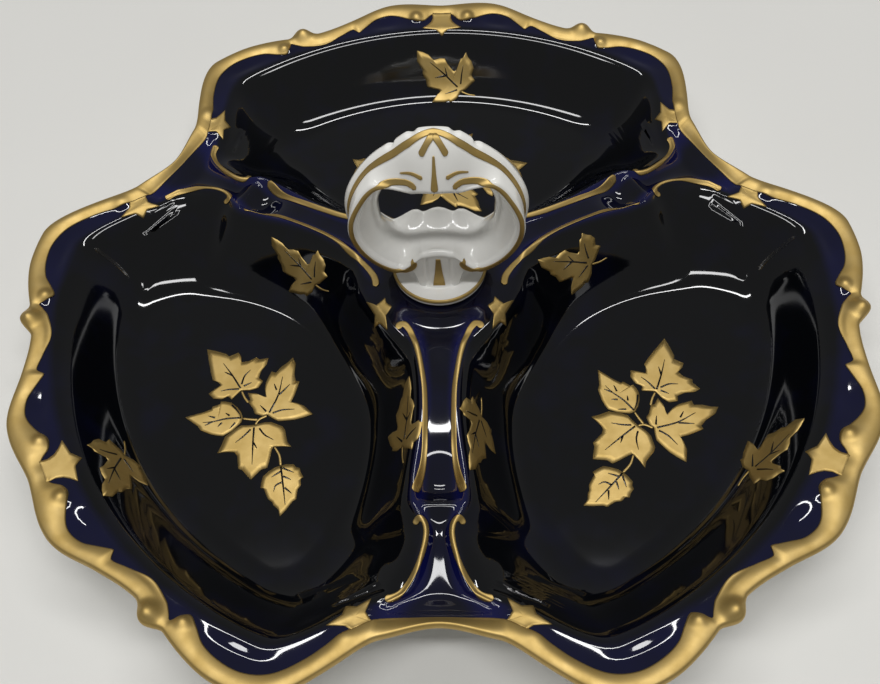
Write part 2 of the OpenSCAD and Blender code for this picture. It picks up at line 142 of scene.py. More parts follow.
def make_piece(name, grids, materials, replaces=(), film=0.0, marks=None, rounded=True):
    """Builds one object from grids (points, close_n, close_m, material number), in mm around the hub axis.

    film is the thickness in mm that Solidify gives to open sheets; without it the grids are closed, and their
    faces are turned outwards. marks are named values per point, and rounded asks for smooth shading.
    """
    points, faces, paint, start = [], [], [], 0
    for grid, close_n, close_m, material in grids:
        n, m = grid.shape[:2]
        quads = grid_faces(n, m, close_n, close_m) + start
        points.append(grid.reshape(-1, 3))
        faces.append(quads)
        paint.append(np.broadcast_to(material, len(quads)))
        start += n * m
    points = (np.concatenate(points) + HUB) * MM
    faces, paint = np.concatenate(faces), np.concatenate(paint)
    mesh = bpy.data.meshes.new(name)
    mesh.vertices.add(len(points))
    mesh.vertices.foreach_set("co", points.astype(np.float32).ravel())
    mesh.loops.add(faces.size)
    mesh.loops.foreach_set("vertex_index", faces.astype(np.int32).ravel())
    mesh.polygons.add(len(faces))
    mesh.polygons.foreach_set("loop_start", np.arange(0, faces.size, 4, dtype=np.int32))
    mesh.polygons.foreach_set("material_index", paint.astype(np.int32))
    mesh.polygons.foreach_set("use_smooth", np.full(len(faces), rounded))
    for key, values in (marks or {}).items():
        mark = mesh.attributes.new(key, "FLOAT", "POINT")
        mark.data.foreach_set("value", values.astype(np.float32).ravel())
    mesh.update(calc_edges=True)
    work = bmesh.new()
    work.from_mesh(mesh)
    bmesh.ops.remove_doubles(work, verts=work.verts, dist=MERGE)
    if not film:
        bmesh.ops.recalc_face_normals(work, faces=work.faces)
    work.to_mesh(mesh)
    work.free()
    piece = put(name, mesh)
    for material in materials:
        mesh.materials.append(material)
    if film:
        thick = piece.modifiers.new("film", "SOLIDIFY")
        thick.thickness = film * MM
        thick.offset = 0
    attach(piece, "root")
    if replaces:
        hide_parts(*replaces)
    print(name, len(mesh.vertices), "points", len(mesh.polygons), "faces")


# %% [markdown]
# ## Tools for finishes
# A finish is a tree of nodes around one Principled shader. One function adds a node with its settings and
# links, and one turns the hex colours of a paint chart into the linear light that Blender reckons in. Most
# finishes here drift between two tones, so one function starts those, and one gives a finish its ripple.


# %% Material tools
def hue(code):
    """Linear RGBA of an sRGB hex colour: below 0.04045 divided by 12.92, above it a power of 2.4."""
    c = np.array([int(code[k:k + 2], 16) for k in (1, 3, 5)]) / 255
    linear = np.where(c <= 0.04045, c / 12.92, ((c + 0.055) / 1.055) ** 2.4)
    return (*(float(v) for v in linear), 1.0)


def add(tree, kind, inputs=None, **settings):
    """Adds a shader node: settings are its properties, inputs are values or sockets by name or number."""
    made = tree.nodes.new("ShaderNode" + kind)
    for key, value in settings.items():
        setattr(made, key, value)
    for key, value in (inputs or {}).items():
        if isinstance(value, bpy.types.NodeSocket):
            tree.links.new(value, made.inputs[key])
        else:
            made.inputs[key].default_value = value
    return made


def new_finish(name, **constants):
    """Starts a material with constants on its Principled shader; returns material, tree and shader."""
    material = bpy.data.materials.new(name)
    material.use_nodes = True
    shader = material.node_tree.nodes["Principled BSDF"]
    for key, value in constants.items():
        shader.inputs[key.replace("_", " ")].default_value = value
    return material, material.node_tree, shader


def per_mm(size):
    """Noise scale whose spots are about the given size in mm, for Object coordinates in metres."""
    return 1 / (size * MM)


def ripple(tree, shader, place, size, strength, height, detail=0.0):
    """Gives a finish fine waves of a size and a height in mm, as a bump."""
    waves = add(tree, "TexNoise", {"Vector": place, "Scale": per_mm(size), "Detail": detail})
    rise = add(tree, "Bump", {"Height": waves.outputs["Fac"], "Strength": strength, "Distance": height * MM})
    tree.links.new(rise.outputs[0], shader.inputs["Normal"])


def clouded(name, size, tones, detail=3.0, rough=None, waves=None, **constants):
    """A finish that drifts between two tones in clouds of a size in mm.

    rough is the roughness at each tone, where it drifts too, and waves are the numbers of its ripple.
    """
    material, tree, shader = new_finish(name, **constants)
    place = add(tree, "TexCoord").outputs["Object"]
    clouds = add(tree, "TexNoise", {"Vector": place, "Scale": per_mm(size), "Detail": detail}).outputs["Fac"]
    tone = add(tree, "Mix", {0: clouds, 6: hue(tones[0]), 7: hue(tones[1])}, data_type="RGBA")
    tree.links.new(tone.outputs[2], shader.inputs["Base Color"])
    if rough:
        haze = add(tree, "MapRange", {"Value": clouds, 3: rough[0], 4: rough[1]})
        tree.links.new(haze.outputs[0], shader.inputs["Roughness"])
    if waves:
        ripple(tree, shader, place, **waves)
    print("made", name)
    return material


# %% [markdown]
# ## Cobalt glaze
# The blue is cobalt oxide under a clear gloss glaze. In the wells it pools and looks almost black, and on the
# ribs and the hub it runs thin and shows its blue. So the colour follows a mark on the mesh, which says how
# thin the glaze is, and a slow noise varies it. The fine ripple of the fired surface is a faint bump.

# %% Cobalt glaze
GLAZE_IOR = 1.5
cobalt, tree, shader = new_finish("cobalt_gloss_glaze", IOR=GLAZE_IOR)
place = add(tree, "TexCoord").outputs["Object"]
# Pools of glaze about 18 mm across vary the depth of the blue
pools = add(tree, "TexNoise", {"Vector": place, "Scale": per_mm(18), "Detail": 2.0})
thin = add(tree, "Attribute", attribute_name="thin_glaze").outputs["Fac"]
varied = add(tree, "Math", {0: pools.outputs["Fac"], 1: 0.35, 2: -0.175}, operation="MULTIPLY_ADD")
share = add(tree, "Math", {0: thin, 1: varied.outputs[0]}, operation="ADD", use_clamp=True)
blue = add(tree, "Mix", {0: share.outputs[0], 6: hue("#030407"), 7: hue("#0b0e48")}, data_type="RGBA")
tree.links.new(blue.outputs[2], shader.inputs["Base Color"])
# Fired glaze is glass-smooth, with a little more haze where it pools
haze = add(tree, "MapRange", {"Value": pools.outputs["Fac"], 3: 0.03, 4: 0.07})
tree.links.new(haze.outputs[0], shader.inputs["Roughness"])
# Ripple of the glaze: 7 mm waves, 0.02 mm high
ripple(tree, shader, place, size=7, strength=0.5, height=0.02)
print("made", cobalt.name)

# %% [markdown]
# ## White porcelain glaze
# The handle and the underside are white porcelain under clear glaze: faintly warm, very smooth, with a barely
# visible change of tone where the glaze is thicker.

# %% White glaze
# Clouds of about 25 mm in the body and the glaze, and 6 mm waves in the fired surface
white = clouded("white_porcelain_clear_glaze", 25, ("#e9e8e3", "#f3f2ee"), rough=(0.08, 0.16),
                waves={"size": 6, "strength": 0.4, "height": 0.02}, IOR=GLAZE_IOR)

# %% [markdown]
# ## Burnished gold
# The gilding is powdered gold, painted on, fired, and rubbed with a stone. It looks like metal with a soft
# sheen: it mirrors broadly, keeps faint brush marks, and is a little paler where it was rubbed most.

# %% Gold
# Rubbed patches are about 6 mm across; real brush marks are 0.1 mm wide, drawn at 0.6 mm so that they show
gold = clouded("burnished_fired_gold", 6, ("#af9353", "#c8ae74"), rough=(0.62, 0.42),
               waves={"size": 0.6, "strength": 0.25, "height": 0.03, "detail": 1.0}, Metallic=1.0)

# %% [markdown]
# ## The form of the dish
# The dish has threefold symmetry and each lobe is a mirror image of itself, so its whole form is a height
# above the table at the distance r from the hub axis and the angle f from the axis of the nearest lobe,
# from 0 to 60 degrees. The wells climb from a flat floor in a cove, the dividers carry two ribs with a
# trough between them, and the flange runs out to the scrolled lip. The numbers are those of the CAD part,
# apart from the ear of the lip and the troughs, which are slighter here.

# %% Dish sizes
LOBES, DIVIDERS, HALF = (90.0, 210.0, 330.0), (30.0, 150.0, 270.0), 60.0
LOBE_R, NOTCH_R, RIM_Z, WALL = 162.0, 131.0, 33.0, 4.5
FLANGE_W, FLANGE_DIP, NOTCH_FLANGE = 14.5, 1.0, 4.0
# Steps from lobe to notch: where the steep one and the late one start, their run, and the late one's share
STEP_AT, LATE_AT, STEP_RUN, LATE_SHARE = 39.2, 47, 13, 0.25
# The shoulder leads the lip by some degrees, and the flange narrows from an angle over a run
SHOULDER_LEAD, NARROW_AT, NARROW_RUN = 1.5, 40, 18
# Swell, hollow, bead and ear of the lip: height in mm, then place and half width in degrees
BEAD_R, BEAD_AT = 3.6, 24.4
LIP = [(2.5, 7.5, 8), (-7.0, 21.5, 13.5), (BEAD_R, BEAD_AT, 2.8), (0.7, 37.5, 7)]
WELL_C, WELL_R, FLOOR_Z, FLOOR_OUT, CORNER = 114.0, 67.0, 7.5, 120.5, 10.0
COVE_END, STRAIGHT_END = 0.45, 0.8
HUB_Z, SEAT_R, HUB_EDGE, HUB_DROP, HUB_WALL, HUB_FADE = 40.0, 19.5, 27.0, 1.5, 8.0, 8.0
WAIST, COLLAR_P, RIB_H, RIB_W, COLLAR_H = 5.8, 91.0, 1.2, 2.6, 2.0
TROUGH, TROUGH_DROP, CREST_BLEND = 2.2, 3.0, 10.0
LIP_T, EDGE_ROUND = 4.0, 1.4
HOOK = 1.45 * WAIST
TAIL_P = NOTCH_R - NOTCH_FLANGE - 2
RIBS = [(21, 14), (33, between(WAIST, 14, 0.3)), (56, WAIST), (84, HOOK), (91, HOOK), (99, 0.75 * WAIST),
        (107, 0.9 * WAIST), (TAIL_P - 6, between(WAIST, 19, 0.3)), (TAIL_P, 19)]
DEPTHS = [(27, 0), (42, 0.7), (67, 0), (74, 0.9), (84, TROUGH + TROUGH_DROP), (91, TROUGH / 2), (99, TROUGH),
          (TAIL_P - 6, TROUGH), (TAIL_P, 0)]


# %% Outline of the dish
def lobe_outline(f):
    """Radius of the plain lobe: level, then in to the notch on a steep step with a late one mixed in."""
    steep, late = smooth((f - STEP_AT) / STEP_RUN), smooth((f - LATE_AT) / STEP_RUN)
    return between(LOBE_R, NOTCH_R, between(steep, late, LATE_SHARE))


def lip_r(f):
    """Radius of the lip: the plain lobe with a crown swell, a hollow, a bead in it and an ear."""
    r = lobe_outline(f)
    for height, at, half in LIP:
        r = r + height * bump((f - at) / half)
    return r


def shoulder_r(f):
    """Radius where the flange meets the wall of the well; the flange narrows towards the notch."""
    narrow = smooth((f - NARROW_AT) / NARROW_RUN)
    return lobe_outline(f + SHOULDER_LEAD) - between(FLANGE_W, NOTCH_FLANGE, narrow)


def rib_half(p):
    """Half the spacing of a divider's two ribs at the distance p from the hub axis."""
    return curve(RIBS, p)


lip = lip_r(np.linspace(0, HALF, 121))
print("lip from", lip.min().round(1), "to", lip.max().round(1), "mm")

# %% Walls of the wells
TAIL_START, TAIL_DROP = COLLAR_P + 10, 4
RIB_RUN, COLLAR_HALF, COLLAR_REACH = 6, 5, 1.5 * HOOK


def from_divider(r, f):
    """Distances from the hub axis along the nearest divider, and aside from its middle."""
    return r * cosd(HALF - f), r * sind(HALF - f)


def crest_z(p):
    """Height of a divider's crest: from the hub down to the rim, then a drop at its tail."""
    fall = between(HUB_Z - HUB_DROP, RIM_Z, smooth((p - HUB_EDGE) / (TAIL_START - HUB_EDGE)))
    return fall - TAIL_DROP * smooth((p - TAIL_START) / (TAIL_P - TAIL_START))


def wall_curve(t):
    """Share of the height gained at the share t of the run: a parabola, a straight part, a parabola."""
    m = 2 / (1 + STRAIGHT_END - COVE_END)
    cove, straight = m * t * t / (2 * COVE_END), m * (t - COVE_END / 2)
    return np.where(t < COVE_END, cove,
                    np.where(t < STRAIGHT_END, straight, 1 - m * (1 - t) ** 2 / (2 * (1 - STRAIGHT_END))))


def well_z(r, f, out):
    """Wall from the floor to the crest: its share of the run is the way past the floor over the whole.

    The crest is the flange, the divider or the hub, and the nearest of the three counts most.
    """
    past = np.hypot(r * sind(f), r * cosd(f) - WELL_C) - WELL_R
    floor_gap = np.maximum(soft_max(past, r - FLOOR_OUT, CORNER), 0)
    p, e = from_divider(r, f)
    gaps = [shoulder_r(f) - r, e - rib_half(p), r - HUB_EDGE]
    left = np.maximum(-soft_max(soft_max(-gaps[0], -gaps[1], CREST_BLEND), -gaps[2], CREST_BLEND), 0)
    near = [1 / (np.maximum(g, 0) + 1) ** 2 for g in gaps]
    crest = (near[0] * (RIM_Z - FLANGE_DIP) + near[1] * crest_z(p) + near[2] * (HUB_Z - HUB_DROP)) / sum(near)
    share = np.where(floor_gap <= out, 0, (floor_gap - out) / np.maximum(floor_gap + left, 1e-9))
    return FLOOR_Z + (crest - FLOOR_Z) * wall_curve(share)


def divider_relief(r, f):
    """Two round ribs, a parabolic trough between them and a collar across the divider."""
    p, e = from_divider(r, f)
    w = rib_half(p)
    ends = smooth((p - HUB_EDGE) / RIB_RUN) * smooth((TAIL_P + NOTCH_FLANGE - p) / RIB_RUN)
    return (RIB_H * bump((e - w) / RIB_W) * ends - curve(DEPTHS, p) * np.where(e < w, 1 - (e / w) ** 2, 0)
            + COLLAR_H * bump((p - COLLAR_P) / COLLAR_HALF) * bump(e / COLLAR_REACH))


def inner_z(r, f):
    """Height of the face inside the shoulder: the hub's seat, then walls and dividers."""
    hub = HUB_Z - HUB_DROP * smooth((r - SEAT_R) / (HUB_EDGE - SEAT_R))
    return np.where(r <= HUB_EDGE, hub, well_z(r, f, 0) + divider_relief(r, f))


print("floor", FLOOR_Z, "mm, wall at r = 130:", well_z(np.array(130.0), np.array(0.0), 0).round(2), "mm")

# %% [markdown]
# ## The scrolled edge
# The edge is moulded as a chain of scrolls: each gilded scroll is a rounded ridge that ends in a curl, and
# between the scrolls lie shallow blue bays. The gilding follows the ridges, so one curve, the inner edge of
# the gold, sets both the relief and the gold band.

# %% Scrolled edge
GOLD_EDGE = [(0, 156), (1.2, 156.2), (2, 155), (3, 152.3), (4.5, 151.5), (6, 154), (8, 156.6),
             (9.5, 157.2), (11.5, 155.8), (13, 153), (14.2, 150.7), (15, 149.5), (15.4, 151), (15.9, 152),
             (18, 150), (21.5, 147.3), (25, 149.5), (26.3, 152), (27, 153.5), (27.6, 151), (28.6, 148.7),
             (30, 150.5), (32, 154), (35, 156), (38, 156), (41, 153), (44, 146), (46, 140), (47, 137),
             (50, 131.5), (52, 129.2), (56, 128), (60, 127.5)]
# Curls as angle, radius, size and height, and bays as angle, radius, length, width and depth
CURLS = [(4.5, 153.5, 4.0, 1.5), (28.4, 151.0, 4.2, 1.4), (47.5, 136.5, 5.0, 1.0)]
BAYS = [(9.8, 151.5, 9.9, 7.5, 1.0), (36.0, 150.5, 14.4, 7.0, 1.0)]
SCROLL_RISE, SCROLL_POWER, BEAD_RISE, BEAD_REACH = 0.11, 0.9, 0.7, 1.5


def gold_r(f):
    """Radius of the inner edge of the gold."""
    return curve(GOLD_EDGE, f)


def apart(r, f, r0, f0):
    """Distances along the edge and across it from the place (r0, f0), in mm."""
    return r0 * np.radians(f - f0), r - r0


def edge_relief(r, f):
    """Ridge along the gold, higher where it is wide, with curls and the bead on it and bays beside it."""
    width = np.maximum(lip_r(f) - gold_r(f), 1)
    share = np.clip((r - gold_r(f)) / width, 0, 1)
    z = SCROLL_RISE * width * np.sin(np.pi * share) ** SCROLL_POWER
    for f0, r0, size, height in CURLS:
        z = z + height * bump(np.hypot(*apart(r, f, r0, f0)) / size)
    blue = smooth((gold_r(f) - r) / 2 + 0.5)
    for f0, r0, long, wide, depth in BAYS:
        along, across = apart(r, f, r0, f0)
        z = z - depth * bump(np.hypot(along / long, across / wide)) * blue
    along, across = apart(r, f, lip_r(np.array(BEAD_AT)) - BEAD_R, BEAD_AT)
    return z + BEAD_RISE * BEAD_R * bump(np.hypot(along, across) / (BEAD_REACH * BEAD_R))


def face_z(r, f):
    """Height of the glazed face anywhere: inside the shoulder, or the flange with the relief of its edge."""
    shoulder = shoulder_r(f)
    share = (r - shoulder) / (lip_r(f) - shoulder)
    flange = between(inner_z(np.minimum(r, shoulder), f), RIM_Z, smooth(share))
    return np.where(share <= 0, inner_z(r, f), flange) + edge_relief(r, f) * smooth(share * 3)


def fold(angle):
    """Angle from the axis of the nearest lobe, for an angle in degrees from +X."""
    turn = np.mod(angle - 90, 120)
    return np.minimum(turn, 120 - turn)


def face_at(x, y):
    """Height of the glazed face at a place on the plan, in mm from the hub axis."""
    return face_z(np.hypot(x, y), fold(np.degrees(np.arctan2(y, x))))


print("lip height at a crown", face_z(np.array(155.0), np.array(7.0)).round(2))

# %% [markdown]
# ## The dish
# The skin is one closed grid. Its columns fan out over each lobe and then follow the ribs of the dividers,
# and its rings run from the bore over the hub, the wells and the flange, round the lip, and back along the
# white underside to the bore. Columns that follow a rib keep its crest sharp with few faces.

# %% Dish grid
LOBE_COLUMNS, RIB_COLUMNS, RIB_REACH = 60, 24, 1.5
BORE_R, RECESS_R, SEAT_CUT = 4.0, 12.0, 0.4


def column_f(r, v):
    """Angle of a column at radius r: v from 0 to 1 fans over the lobe, from 1 to 2 it follows the ribs."""
    reach = np.where(v > 1, RIB_REACH * (2 - v), RIB_REACH)
    rib = HALF - np.degrees(np.arcsin(np.minimum(reach * rib_half(r) / r, 0.7)))
    return np.where(v > 1, rib, v * rib)


half = np.concatenate([np.linspace(0, 1, LOBE_COLUMNS, endpoint=False), np.linspace(1, 2, RIB_COLUMNS + 1)])
lobe = np.concatenate([-half[-2:0:-1], half])
COLUMN, SIGN, AXIS = np.tile(np.abs(lobe), 3), np.tile(np.sign(lobe), 3), np.repeat(LOBES, len(lobe))


def ring(radius):
    """Radius and folded angle of every column where a ring's radius is a function of the angle.

    Radius and angle depend on each other, so they are worked out in turn until they settle.
    """
    r = np.full(len(COLUMN), LOBE_R)
    for _ in range(6):
        f = column_f(r, COLUMN)
        r = radius(f) * np.ones(len(COLUMN))
    return r, column_f(r, COLUMN)


def under_z(r, f):
    """Height of the white underside: the wall's thickness below the face, thicker beside the hub."""
    wall = np.minimum(well_z(np.minimum(r, shoulder_r(f)), f, 0.7 * WALL), face_z(r, f) + 0.5)
    return wall - WALL - (HUB_WALL - WALL) * smooth((HUB_EDGE + HUB_FADE - r) / HUB_FADE)


print(len(COLUMN), "columns round the dish")

# %% Dish mesh
GOLD_BED = 0.35
rings, thin_marks, ring_paint = [], [], []


def thin_glaze(r, f):
    """How thin the glaze is: most along the ribs of a divider, less on the flange and the hub."""
    p, e = from_divider(r, f)
    w = rib_half(p)
    on_divider = smooth((1.2 * w - e) / 3 + 0.5) * smooth((r - 18) / 8)
    on_rib = 0.12 + 0.6 * bump((e / w - 0.85) / 0.5)
    on_flange = 0.3 * smooth((r - shoulder_r(f)) / 4 + 0.5)
    return np.maximum(on_divider * on_rib, np.maximum(on_flange, 0.1 * smooth((32 - r) / 6)))


def add_ring(radius, height, paint):
    """Adds one ring to the dish, with its mark of thin glaze and the finish of the band that starts there."""
    r, f = ring(radius)
    rings.append(polar(r, AXIS + SIGN * f, height(r, f)))
    thin_marks.append(thin_glaze(r, f))
    ring_paint.append(paint)


def face_r(f, s):
    """Radius at a share s of the way from the hub's edge to the shoulder."""
    return between(HUB_EDGE, shoulder_r(f), s)


def bed_z(r, f):
    """Face of the body: it lies a little lower under the gold, so that the gilding covers it cleanly."""
    return face_z(r, f) - GOLD_BED * smooth((r - gold_r(f)) / 1.5 - 0.3)


add_ring(lambda f: BORE_R, lambda r, f: HUB_Z - HUB_WALL + SEAT_CUT, 0)
for radius in np.linspace(BORE_R, HUB_EDGE, 10)[:-1]:
    add_ring(lambda f, radius=radius: radius, face_z, 0)
for s in np.linspace(0, 1, 76):
    add_ring(lambda f, s=s: face_r(f, s), bed_z, 0)
for s in np.linspace(0, 1, 17)[1:]:
    add_ring(lambda f, s=s: between(shoulder_r(f), lip_r(f) - EDGE_ROUND, s), bed_z, 0)
INSET = 0.5
for a in np.linspace(90, -90, 9)[1:]:
    add_ring(lambda f, a=a: lip_r(f) - EDGE_ROUND + (EDGE_ROUND - INSET) * cosd(a),
             lambda r, f, a=a: bed_z(np.minimum(r, lip_r(f) - EDGE_ROUND), f) - LIP_T / 2 * (1 - sind(a)), 1)
for s in np.linspace(1, 0, 6)[1:-1]:
    add_ring(lambda f, s=s: between(shoulder_r(f), lip_r(f) - EDGE_ROUND, s),
             lambda r, f, s=s: between(under_z(r, f), bed_z(r, f) - LIP_T, smooth(s)), 1)
for s in np.concatenate([np.linspace(1, 0.08, 30), [0.05, 0.02, 0]]):
    add_ring(lambda f, s=s: face_r(f, s), under_z, 1)
add_ring(lambda f: HUB_EDGE - 0.01, lambda r, f: HUB_Z - HUB_WALL, 1)
for height in (0, SEAT_CUT):
    add_ring(lambda f: RECESS_R, lambda r, f, height=height: HUB_Z - HUB_WALL + height, 1)
paint = np.repeat(ring_paint, len(COLUMN))
make_piece("dish", [(np.stack(rings), True, True, paint)], [cobalt, white], ["dish"],
           marks={"thin_glaze": np.stack(thin_marks)})

# %% [markdown]
# ## Gilding on the dish
# Gold is brushed on over the glaze, so each gilded shape is drawn on the plan, as a decorator sees it from
# above, and then laid on the face a fifth of a millimetre up. A band, a stroke and a filled outline are all
# that the decoration needs.

# %% Tools for gilding
LIFT, FILM = 0.2, 0.16
# Least share of its width, squared, that a stroke has at a round end
TIP = 0.0025


def on_face(plan, lift=LIFT):
    """Lays plan places on the glazed face, lifted by a film's height."""
    return np.concatenate([plan, (face_at(plan[..., 0], plan[..., 1]) + lift)[..., None]], -1)


def turned_plan(plan, angle):
    """Turns plan places round the hub axis: the usual cosine and sine mix of x and y."""
    c, s = cosd(angle), sind(angle)
    return np.stack([plan[..., 0] * c - plan[..., 1] * s, plan[..., 0] * s + plan[..., 1] * c], -1)


def run_along(path):
    """Length run along a path up to each of its points."""
    return np.concatenate([[0], np.cumsum(np.hypot(*np.diff(path, axis=0).T))])


def path_through(points, count):
    """Smooth path through plan points, evenly spaced: cubic pieces over the running length."""
    p = np.asarray(points, float)
    run = run_along(p)
    at = np.linspace(0, run[-1], count)
    return np.stack([hermite(run, p[:, k], np.gradient(p[:, k], run), at) for k in (0, 1)], -1)


def stroke(points, half, count=60, across=7, round_ends=True):
    """Brush stroke along a path: each point is moved to both sides by the half width, which may change.

    At a round end the half width shrinks as the chord of a circle does.
    """
    path = path_through(points, count)
    ahead = np.gradient(path, axis=0)
    ahead /= np.hypot(*ahead.T)[:, None]
    aside = np.stack([-ahead[:, 1], ahead[:, 0]], -1)
    half = np.interp(np.linspace(0, 1, count), np.linspace(0, 1, len(half)), half)
    if round_ends:
        run = run_along(path)
        near = np.minimum(run, run[-1] - run) / half
        half = half * np.sqrt(np.clip(1 - (1 - np.minimum(near, 1)) ** 2, TIP, 1))
    return path[:, None] + aside[:, None] * (half[:, None] * np.linspace(-1, 1, across))[..., None]


def filled(outline, centre, steps=6):
    """Filled outline: rings at shares of the way from a centre to the outline."""
    share = np.linspace(0, 1, steps)[:, None, None]
    return np.asarray(centre, float) + share * (outline - np.asarray(centre, float))


def corners_to_outline(corners, per_edge=8):
    """Closed outline with straight edges, each cut into the same number of steps."""
    p = np.asarray(corners, float)
    q = np.roll(p, -1, axis=0)
    t = np.linspace(0, 1, per_edge, endpoint=False)[None, :, None]
    return (p[:, None] + t * (q - p)[:, None]).reshape(-1, 2)


def gild(name, plans, lift=LIFT, close_m=False, finish=gold, film=FILM):
    """Makes one piece of gilding from plan grids laid on the face."""
    grids = [(on_face(plan, lift), False, close_m, 0) for plan in plans]
    make_piece(name, grids, [finish], film=film)


# %% Gilded edge
RIM_COLUMNS, GOLD_IN = 1440, 0.2
angle = np.arange(RIM_COLUMNS) * 360 / RIM_COLUMNS
f = fold(angle)
edge_in = lip_r(f) - EDGE_ROUND
rows = []
for share in np.linspace(0, 1, 15):
    r = between(gold_r(f), edge_in, share)
    z = face_z(r, f) + LIFT
    rows.append(polar(r, angle, z))
for a in np.linspace(90, -90, 8)[1:]:
    rows.append(polar(edge_in + (EDGE_ROUND - GOLD_IN) * cosd(a), angle, z - LIP_T / 2 * (1 - sind(a))))
make_piece("gilded_edge", [(np.stack(rows), False, True, 0)], [gold], film=FILM)

# %% [markdown]
# ## Gold stars
# Small gilded stars hang from the edge: one on the axis of each lobe, one at each end of its scrolls, and one
# beside the hub. They are flat shapes with straight edges, so their corners are enough.

# %% Stars
HALF_STAR = [(-4.6, 156.7), (-4.2, 153.5), (-5.0, 151.0), (-6.7, 149.0), (-9.0, 147.0), (-2.8, 146.0)]
AXIS_STAR = HALF_STAR + [(0, 143.4)] + [(-x, y) for x, y in HALF_STAR[::-1]]
# Star at each end of a lobe, as (radius, angle from the lobe's axis); its neck runs into the gilded edge
END_STAR = [(135.5, 51.3), (131.0, 50.9), (128.0, 49.7), (123.2, 50.0), (126.7, 48.3), (127.1, 46.6),
            (130.3, 46.6), (134.8, 45.0), (133.7, 47.4), (136.0, 48.5), (139.0, 49.0)]
END_R, END_F = np.transpose(END_STAR)
END_R = np.minimum(END_R, gold_r(END_F) + 0.6)
AXIS_MIDDLE, END_MIDDLE_R, END_MIDDLE_F = (0, 150.0), 130.2, 48.4
HUB_STAR = [(8.0, 1.7), (3.8, 2.4), (2.1, 4.3), (-0.4, 2.4), (-7.3, 2.4), (-2.8, 0.4), (-3.6, -3.8),
            (-1.5, -3.2), (1.1, -4.1), (3.0, -0.6)]
# The hub's stars are given one by one: one is mirrored, and two lie a little to the front of their lobe's
# axis
HUB_STAR_R, HUB_SIDES, HUB_ASIDES = 27.3, (1, -1, 1), (0.0, -3.8, 3.8)
# Where stars and edge meet, the edge lies on top
STAR_LIFT = LIFT - 0.06
star_plans = []
for lobe in LOBES:
    star_plans.append(turned_plan(filled(corners_to_outline(AXIS_STAR), AXIS_MIDDLE), lobe - 90))
    for turn in (-1, 1):
        end = corners_to_outline(polar(END_R, turn * END_F, 0)[:, :2])
        middle = polar(END_MIDDLE_R, turn * END_MIDDLE_F, 0)[:2]
        star_plans.append(turned_plan(filled(end, middle), lobe))
for lobe, side, aside in zip(LOBES, HUB_SIDES, HUB_ASIDES):
    star = filled(corners_to_outline(HUB_STAR), (0, 0)) * np.array([side, 1])
    star_plans.append(turned_plan(star + np.array([aside, HUB_STAR_R]), lobe - 90))
gild("gold_stars", star_plans, STAR_LIFT, close_m=True)

# %% [markdown]
# ## Gold lines on the dividers
# Two lines run along the ribs of each divider. At the hub they end in a small hook on the front divider and
# run on round the hub on the other two. They hook out at the collar, start again behind it, and flare at the
# rim. They are strokes of a loaded brush, so their ends are round.

# %% Divider lines
FRONT_DIVIDER, LINE_LIFT = 270.0, LIFT + 0.1
HOOKED_END = [(15.0, 25.6), (14.6, 23.6), (13.2, 23.3), (11.5, 25.0), (9.8, 28.7), (7.7, 35.4)]
LONG_END = [(17.6, 17.3), (14.6, 19.9), (12.2, 23.8), (10.4, 28.6), (8.8, 34.5)]
INNER_LINE = [(6.4, 42.0), (5.4, 48.5), (5.0, 56), (4.9, 65), (5.1, 73.5), (5.7, 78), (6.8, 82.5), (8.3, 87)]
OUTER_LINE = [(8.2, 97.8), (6.9, 96.2), (5.3, 96.7), (4.3, 99.3), (4.4, 103.2), (5.5, 108), (7.4, 112.6),
              (10.2, 117.2), (13, 120.3), (15.3, 121.3), (17.2, 121.5)]
line_plans = []
for divider in DIVIDERS:
    for turn in (-1, 1):
        inner = stroke((HOOKED_END if divider == FRONT_DIVIDER else LONG_END) + INNER_LINE,
                       [1.3, 1.0, 0.9, 0.9, 0.9, 0.95, 1.3], count=110)
        outer = stroke(OUTER_LINE, [1.1, 0.9, 0.8, 0.9, 1.4], count=80)
        for line in (inner, outer):
            line_plans.append(turned_plan(line * np.array([turn, 1]), divider - 90))
gild("divider_gold_lines", line_plans, LINE_LIFT)

# %% [markdown]
# ## Gold leaves
# A spray of five vine leaves lies on each floor, and single leaves lie on the walls. They come as printed
# transfers that are laid on at different angles, so one spray and one leaf are drawn once. Each leaf is an
# outline through the tips and notches of its lobes. Its veins are thin dark strokes, where the transfer
# leaves the glaze bare.

# %% Leaf shapes
UPPER_LEAF = [(-7.5, 12.9), (-10.7, 8.9), (-12.2, 10.4), (-14.5, 9.1), (-17.8, 9.4), (-20.0, 11.5),
              (-18.0, 13.4), (-15.6, 15.3), (-17.1, 16.8), (-19.2, 17.7), (-20.3, 20.8), (-21.4, 24.5),
              (-23.4, 31.9), (-19.6, 31.0), (-15.2, 29.6), (-14.1, 28.4), (-10.5, 30.2), (-9.3, 28.4),
              (-8.8, 25.7), (-6.0, 26.1), (-3.1, 27.9), (-1.9, 26.9), (1.7, 27.5), (1.4, 24.7),
              (-0.5, 21.6), (-1.1, 18.4), (0.7, 17.0), (-0.8, 14.0), (-3.7, 13.0)]
RIGHT_LEAF = [(3.7, 2.2), (2.0, 1.6), (-1.1, 2.7), (-1.7, 4.6), (-4.1, 7.7), (-3.4, 8.8), (-4.7, 11.7),
              (-1.3, 11.5), (1.4, 10.2), (2.6, 10.0), (1.8, 13.4), (1.9, 16.4), (3.6, 21.3), (5.4, 20.7),
              (7.2, 23.3), (9.7, 25.4), (11.4, 27.6), (12.8, 24.9), (12.8, 20.1), (13.5, 16.9),
              (15.0, 16.6), (14.5, 14.1), (13.7, 10.7), (12.5, 7.3), (14.7, 7.1), (17.8, 5.8), (21.4, 2.2),
              (17.8, 0.8), (14.6, -0.1), (8.4, -0.7), (5.7, 0.8)]
